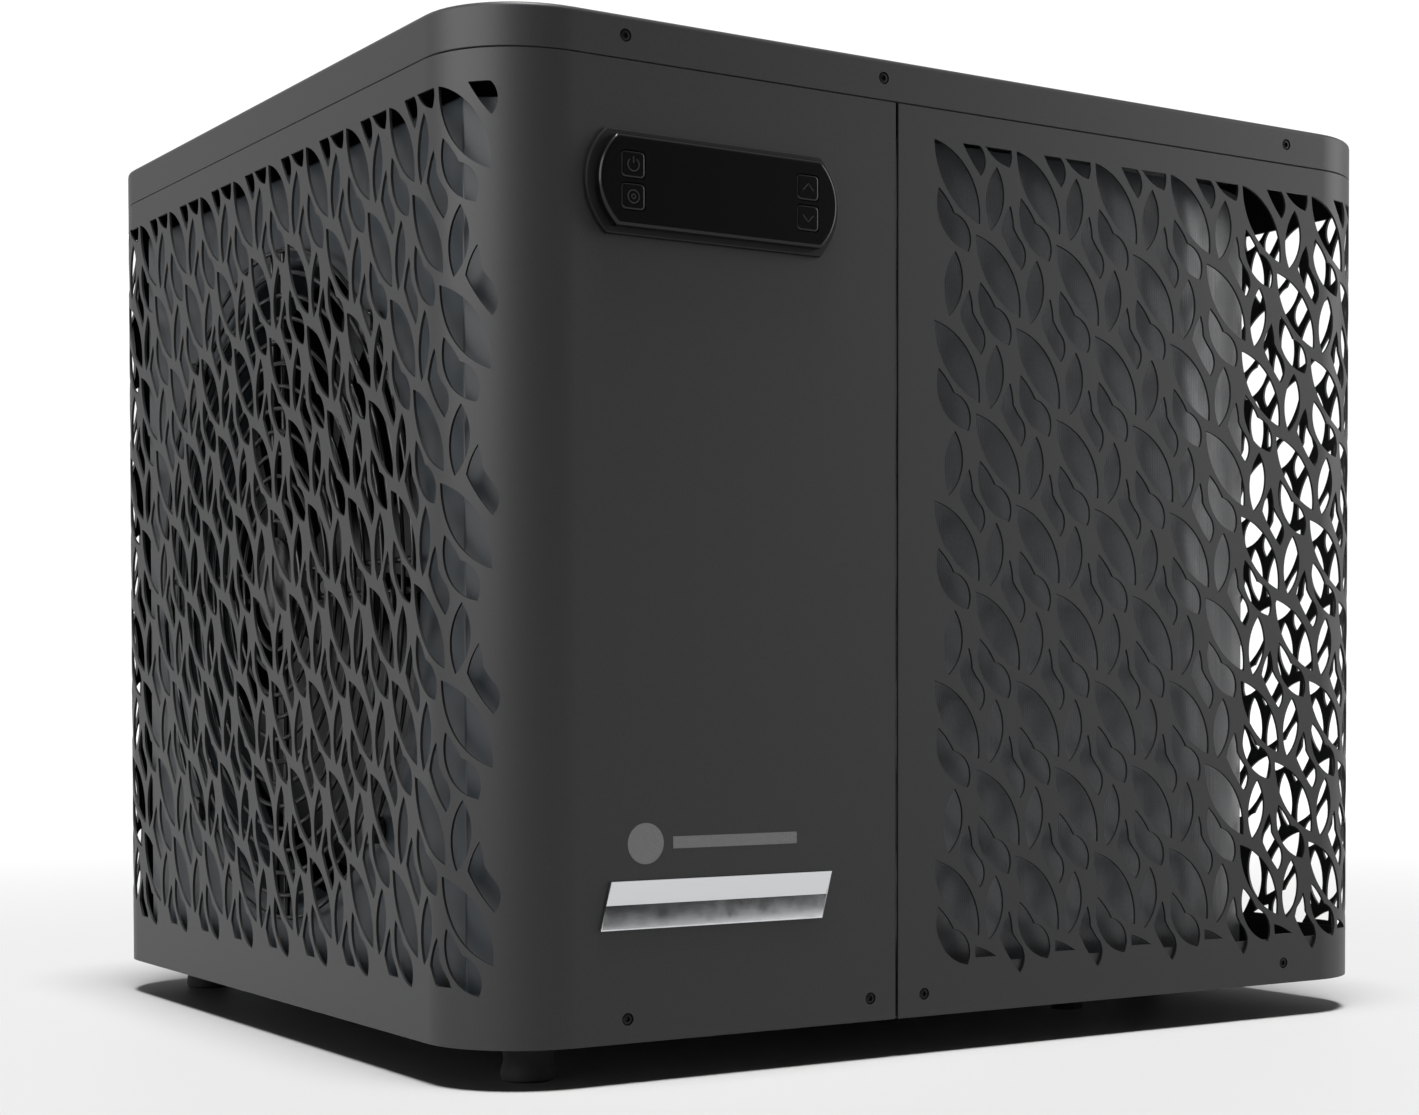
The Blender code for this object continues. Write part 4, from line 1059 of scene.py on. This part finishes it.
centre = (FAN_Y, FAN_Z)
hub_profile = [(4.6, 30.5), (12, 30.5), (13, 29.8), (22, 31), (30, 34.5), (34.5, 39), (36, 44), (36, 78)]
hub_profile += [(35, 79.5), (32, 79.5), (31, 78), (31, 48), (12, 42), (12, 78), (10, 79), (4.6, 79)]
bodies = [turned("hub", hub_profile, glass_nylon, centre, "X", 72, loop=True, mesh_only=True)]
for i in range(BLADES):
    rings = blade_rings(2 * math.pi * i / BLADES)
    bodies.append(stacked("blade", rings, glass_nylon, sharp=math.radians(60), mesh_only=True))
impeller = gather("fan_blades", bodies, glass_nylon)
settle(impeller, ["fan_impeller"], "fan")

zinc_steel, tree, shader = surface("zinc plated steel", {"Metallic": 1.0})
here = add_node(tree, "ShaderNodeTexCoord").outputs["Object"]
stretched = add_node(tree, "ShaderNodeMapping", {"Vector": here, "Scale": (120.0, 2200.0, 2200.0)})
grain = {"Vector": stretched.outputs[0], "Scale": 1.0, "Detail": 3.0}
marks = add_node(tree, "ShaderNodeTexNoise", grain)
limits = {"Value": marks.outputs["Fac"], "To Min": 0.22, "To Max": 0.38}
haze = add_node(tree, "ShaderNodeMapRange", limits)
tree.links.new(haze.outputs[0], shader.inputs["Roughness"])
shader.inputs["Base Color"].default_value = coloured("a5a8aa")
shaft_profile = [(3, 30.2), (4, 31.2), (4, 117.5), (3.5, 118)]
shaft = turned("drive_shaft", shaft_profile, zinc_steel, centre, "X", 40)
settle(shaft, ["motor_shaft"], "fan")
nut_profile = [(4.6, 25.8), (8.4, 25.8), (9, 26.4), (9, 29.2), (8.4, 29.8), (4.6, 29.8)]
nut = turned("hub_nut", [(r, x + 7.9) for r, x in nut_profile], zinc_steel, centre, "X", 6, loop=True)
settle(nut, ["shaft_nut"], "fan")

motor_profile = [(12, 92.5), (14, 93), (14.5, 97.5), (38, 99.2), (42, 100.4), (45, 103), (46, 106)]
motor_profile += [(46, 116), (46.6, 116.5), (46.6, 118.5), (46, 119), (46, 142)]
motor_profile += [(46.6, 142.5), (46.6, 144.5)]
motor_profile += [(46, 145), (46, 154), (45, 157.5), (42, 160.5), (38, 161.8), (10, 162)]
motor = turned("motor", motor_profile, black_paint, centre, "X", 96)
settle(motor, ["fan_motor"])


# Evaporator coil: blue-black coated aluminium fins on copper tubes, bent in an L behind the right
# panel. One tree stands a fin every 1.1 mm along its bent middle line; the block between the fins'
# proud edges stands for the close fins and tubes behind them.
coil_low, coil_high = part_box("evaporator_coil")
COIL_X, COIL_Y = 1000 * (coil_high.x - panel_low.x), 1000 * (coil_low.y - panel_low.y)
COIL_START, COIL_END = 1000 * (coil_low.x - panel_low.x), 1000 * (coil_high.y - panel_low.y)
COIL_DEPTH, COIL_BEND, COIL_FLOOR, COIL_TOP = 26, 95, 2.2, 391.5
FIN_PITCH, FIN_T, FIN_PROUD = 1.1, 0.9, 0.06
fin_coat, tree, shader = surface(
    "epoxy coated aluminium",
    {"Metallic": 0.2, "Roughness": 0.35, "Coat Weight": 0.8, "Coat Roughness": 0.33},
)
here = add_node(tree, "ShaderNodeTexCoord").outputs["Object"]
grime = {"Vector": here, "Scale": 700.0, "Detail": 5.0, "Roughness": 0.7}
dust = add_node(tree, "ShaderNodeTexNoise", grime)
tint = add_node(tree, "ShaderNodeValToRGB", {"Fac": dust.outputs["Fac"]})
set_ramp(tint, ((0.35, "34363a"), (0.7, "45474a")))
tree.links.new(tint.outputs[0], shader.inputs["Base Color"])


def coil_line(inset):
    """Points along the bent coil, set in from its outer face."""
    radius = COIL_BEND - inset
    mid_x, mid_y = COIL_X - COIL_BEND, COIL_Y + COIL_BEND
    bends = [math.pi / 2 * i / 24 for i in range(25)]
    points = [(COIL_START, COIL_Y + inset)]
    points += [(mid_x + radius * math.sin(turn), mid_y - radius * math.cos(turn)) for turn in bends]
    return [*points, (COIL_X - inset, COIL_END)]


core_ring = coil_line(FIN_PROUD) + coil_line(COIL_DEPTH - FIN_PROUD)[::-1]
core_rings = [[(x, y, z) for x, y in core_ring] for z in (COIL_FLOOR, COIL_TOP)]
core = stacked("coil_core", core_rings, fin_coat)
settle(core, ["evaporator_coil"])

fins, given = new_tree(
    "coil fins",
    {"Pitch": "Float", "Depth": "Float", "Thickness": "Float", "Height": "Float", "Coat": "Material"},
)
path = add_node(fins, "GeometryNodeMeshToCurve", {"Mesh": given["Geometry"]})
spots = add_node(
    fins,
    "GeometryNodeCurveToPoints",
    {"Curve": path.outputs[0], "Length": given["Pitch"]},
    mode="LENGTH",
)
size = add_node(
    fins, "ShaderNodeCombineXYZ", {"X": given["Thickness"], "Y": given["Depth"], "Z": given["Height"]}
)
fin = add_node(fins, "GeometryNodeMeshCube", {"Size": size.outputs[0]})
facing = add_node(
    fins,
    "FunctionNodeAlignRotationToVector",
    {"Vector": spots.outputs["Tangent"]},
    axis="X",
    pivot_axis="Z",
)
copies = add_node(
    fins,
    "GeometryNodeInstanceOnPoints",
    {"Points": spots.outputs["Points"], "Instance": fin.outputs["Mesh"], "Rotation": facing.outputs[0]},
)
end_tree(fins, copies.outputs[0], given["Coat"])
middle_line = coil_line(COIL_DEPTH / 2)
middle = (COIL_FLOOR + COIL_TOP) / 2
path_mesh = bpy.data.meshes.new("coil line")
stretches = [(i, i + 1) for i in range(len(middle_line) - 1)]
path_mesh.from_pydata([(x, y, middle) for x, y in middle_line], stretches, [])
finned = link("coil line", path_mesh)
fin_sizes = {"Pitch": FIN_PITCH, "Depth": float(COIL_DEPTH), "Thickness": FIN_T,
             "Height": COIL_TOP - COIL_FLOOR, "Coat": fin_coat}
add_tree(finned, fins, fin_sizes)
fin_mesh = plain_mesh(finned)
fin_mesh.transform(Matrix.Translation(panel_low) @ Matrix.Scale(0.001, 4))
coil = link("coil_fins", fin_mesh)
settle(coil)


# Return bends: drawn copper U bends, two rows of them, brazed on the tubes where the coil ends behind.
copper = mottled(
    "drawn copper", {"Metallic": 1.0}, (90.0, 5.0), ((0, "8d5233"), (1, "c17a52")), haze=(0.22, 0.45)
)
coat_nodes(copper, "filter_drier", *[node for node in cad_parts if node.endswith("_pipe")])
TUBE, TUBE_PITCH = 4.0, 25.4
BENDS, BEND_FLOOR, BEND_REACH = 7, 20, 3
bends = []
for column, x in enumerate((COIL_X - 19.5, COIL_X - 6.5)):
    for i in range(BENDS):
        z = BEND_FLOOR + (column / 2 + 2 * i) * TUBE_PITCH
        line = [(COIL_END, z)]
        for k in range(13):
            turn = math.pi * k / 12
            reach = BEND_REACH + TUBE_PITCH / 2 * math.sin(turn)
            line.append((COIL_END + reach, z + TUBE_PITCH / 2 * (1 - math.cos(turn))))
        line.append((COIL_END, z + TUBE_PITCH))
        rings = []
        for k, (y, z_here) in enumerate(line):
            near, far = line[max(k - 1, 0)], line[min(k + 1, len(line) - 1)]
            along = Vector((far[0] - near[0], far[1] - near[1])).normalized() * TUBE
            ring = []
            for m in range(12):
                c, s = math.cos(math.pi * m / 6), math.sin(math.pi * m / 6)
                ring.append((x + TUBE * c, y - along.y * s, z_here + along.x * s))
            rings.append(ring)
        bends.append(stacked("bend", rings, copper, mesh_only=True))
returns = gather("return_bends", bends, copper)
settle(returns)


# Compressor, accumulator and water tank: the compressor and the accumulator are drawn steel shells,
# painted; the tank is an off-white moulded shell with the titanium water coil inside.
PUMP, FLASK = (262, 330), (190, 412)
shell_profile = [(70, 20.4), (72, 20.8), (72, 22.2), (56, 23.4), (52, 25.5), (56, 31)]
shell_profile += [(57.5, 37), (57.5, 116)]
shell_profile += [(58.3, 117), (58.3, 121), (57.5, 122), (57.5, 198), (56, 208), (51, 217), (42, 225)]
shell_profile += [(30, 231), (15, 235), (6, 236)]
compressor = turned("compressor_shell", shell_profile, black_paint, PUMP, sides=96)
settle(compressor, ["compressor"])
flask_profile = [(8, 60), (14, 61), (20, 65), (24, 71), (25, 78), (25, 128)]
flask_profile += [(25.5, 129), (25.5, 132), (25, 133)]
flask_profile += [(25, 182), (24, 189), (20, 195), (14, 199), (8, 200)]
flask = turned("accumulator", flask_profile, black_paint, FLASK, sides=64)
settle(flask, ["suction_accumulator"])
white_pp = moulded("off-white polypropylene", "c9c9c4", "dadad5", 0.42, 2.0, 0.05)
grey_pvc = moulded("grey PVC", "7d8082", "8f9294", 0.4, 1.5, 0.05)
coat_nodes(white_pp, "heat_exchanger", "terminal_block")
coat_nodes(grey_pvc, "run_capacitor")


# Valves: forged and turned brass, with faint tool marks.
brass = mottled(
    "turned brass", {"Metallic": 1.0}, (260.0, 4.0), ((0, "8f7138"), (1, "b9984f")), haze=(0.25, 0.42)
)
coat_nodes(brass, "four_way_valve", "expansion_valve")


# Circuit boards: green solder resist over glass fibre and copper tracks, whose rows run 2.5 mm apart.
circuit, tree, shader = surface("green solder resist", {"Roughness": 0.3})
here = add_node(tree, "ShaderNodeTexCoord").outputs["Object"]
tracks = add_node(tree, "ShaderNodeTexBrick", {"Vector": here, "Scale": 400.0, "Mortar Size": 0.08})
for socket, shade in (("Color1", "15472a"), ("Color2", "1c5733"), ("Mortar", "2c6b42")):
    tracks.inputs[socket].default_value = coloured(shade)
tree.links.new(tracks.outputs["Color"], shader.inputs["Base Color"])
coat_nodes(circuit, "circuit_board", "control_board")


# Water unions: a grey PVC tail with a rounded mouth and a grip bead on each nozzle, held by a black
# nut that turns on its collar. One tree sets the nut's ten grip ribs.
UNION_X, UNION_Z = 397, {"inlet": 75, "outlet": 245}
tail_profile = [(15, 476.3), (20, 476.3), (20, 480), (17.8, 480.3), (17.5, 480.8), (17.5, 494), (18.1, 494.8)]
tail_profile += [(18.1, 496.8), (17.5, 497.6), (17.5, 500.2), (16.7, 501), (15.6, 501), (15, 500.4)]
nut_profile = [(20.5, 462.5), (24.6, 462.5), (25.4, 463.3), (25.4, 483.4), (24.4, 484.7), (22, 485)]
nut_profile += [(18.6, 485), (18, 484.5), (18, 480.4), (20.5, 480.4)]
ribs, given = new_tree(
    "grip ribs", {"Ribs": "Int", "Radius": "Float", "Width": "Float", "Depth": "Float", "Coat": "Material"}
)
number = add_node(ribs, "GeometryNodeInputIndex").outputs[0]
share = add_node(ribs, "ShaderNodeMath", {0: number, 1: given["Ribs"]}, operation="DIVIDE")
turn = add_node(ribs, "ShaderNodeMath", {0: share.outputs[0], 1: 2 * math.pi}, operation="MULTIPLY")
turning = add_node(ribs, "ShaderNodeCombineXYZ", {"Y": turn.outputs[0]})
spots = add_node(ribs, "GeometryNodePoints", {"Count": given["Ribs"]})
sides = {"X": given["Width"], "Y": given["Depth"], "Z": given["Width"]}
cube = add_node(ribs, "ShaderNodeCombineXYZ", sides)
rib = add_node(ribs, "GeometryNodeMeshCube", {"Size": cube.outputs[0], "Vertices Y": 2})
reach = add_node(ribs, "ShaderNodeCombineXYZ", {"X": given["Radius"]})
outer_rib = add_node(
    ribs, "GeometryNodeTransform", {"Geometry": rib.outputs["Mesh"], "Translation": reach.outputs[0]}
)
copies = add_node(
    ribs,
    "GeometryNodeInstanceOnPoints",
    {"Points": spots.outputs[0], "Instance": outer_rib.outputs[0], "Rotation": turning.outputs[0]},
)
both = add_node(ribs, "GeometryNodeJoinGeometry", {"Geometry": given["Geometry"]})
ribs.links.new(copies.outputs[0], both.inputs[0])
end_tree(ribs, both.outputs[0], given["Coat"])
NUT_MIDDLE = 473.6
for end, z in UNION_Z.items():
    tail = turned(f"{end}_tail", tail_profile, grey_pvc, (UNION_X, z), "Y", 96, loop=True)
    settle(tail, [f"water_{end}_union"])
    mesh = turned("nut", nut_profile, black_plastic, (UNION_X, z), "Y", 96, loop=True, mesh_only=True)
    to_middle = Matrix.Translation(place(UNION_X, NUT_MIDDLE, z))
    mesh.transform(Matrix.Scale(1000, 4) @ to_middle.inverted())
    nut = link("nut", mesh)
    nut_sizes = {"Ribs": 10, "Radius": 25.3, "Width": 2.6, "Depth": 18.4, "Coat": black_plastic}
    add_tree(nut, ribs, nut_sizes)
    mesh = plain_mesh(nut)
    mesh.transform(to_middle @ Matrix.Scale(0.001, 4))
    nut = link(f"{end}_nut", mesh)
    settle(nut, [f"union_nut_{end}"], f"union_nut_{end}")


size = [[list(corner) for corner in box] for box in (cad_box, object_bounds())]
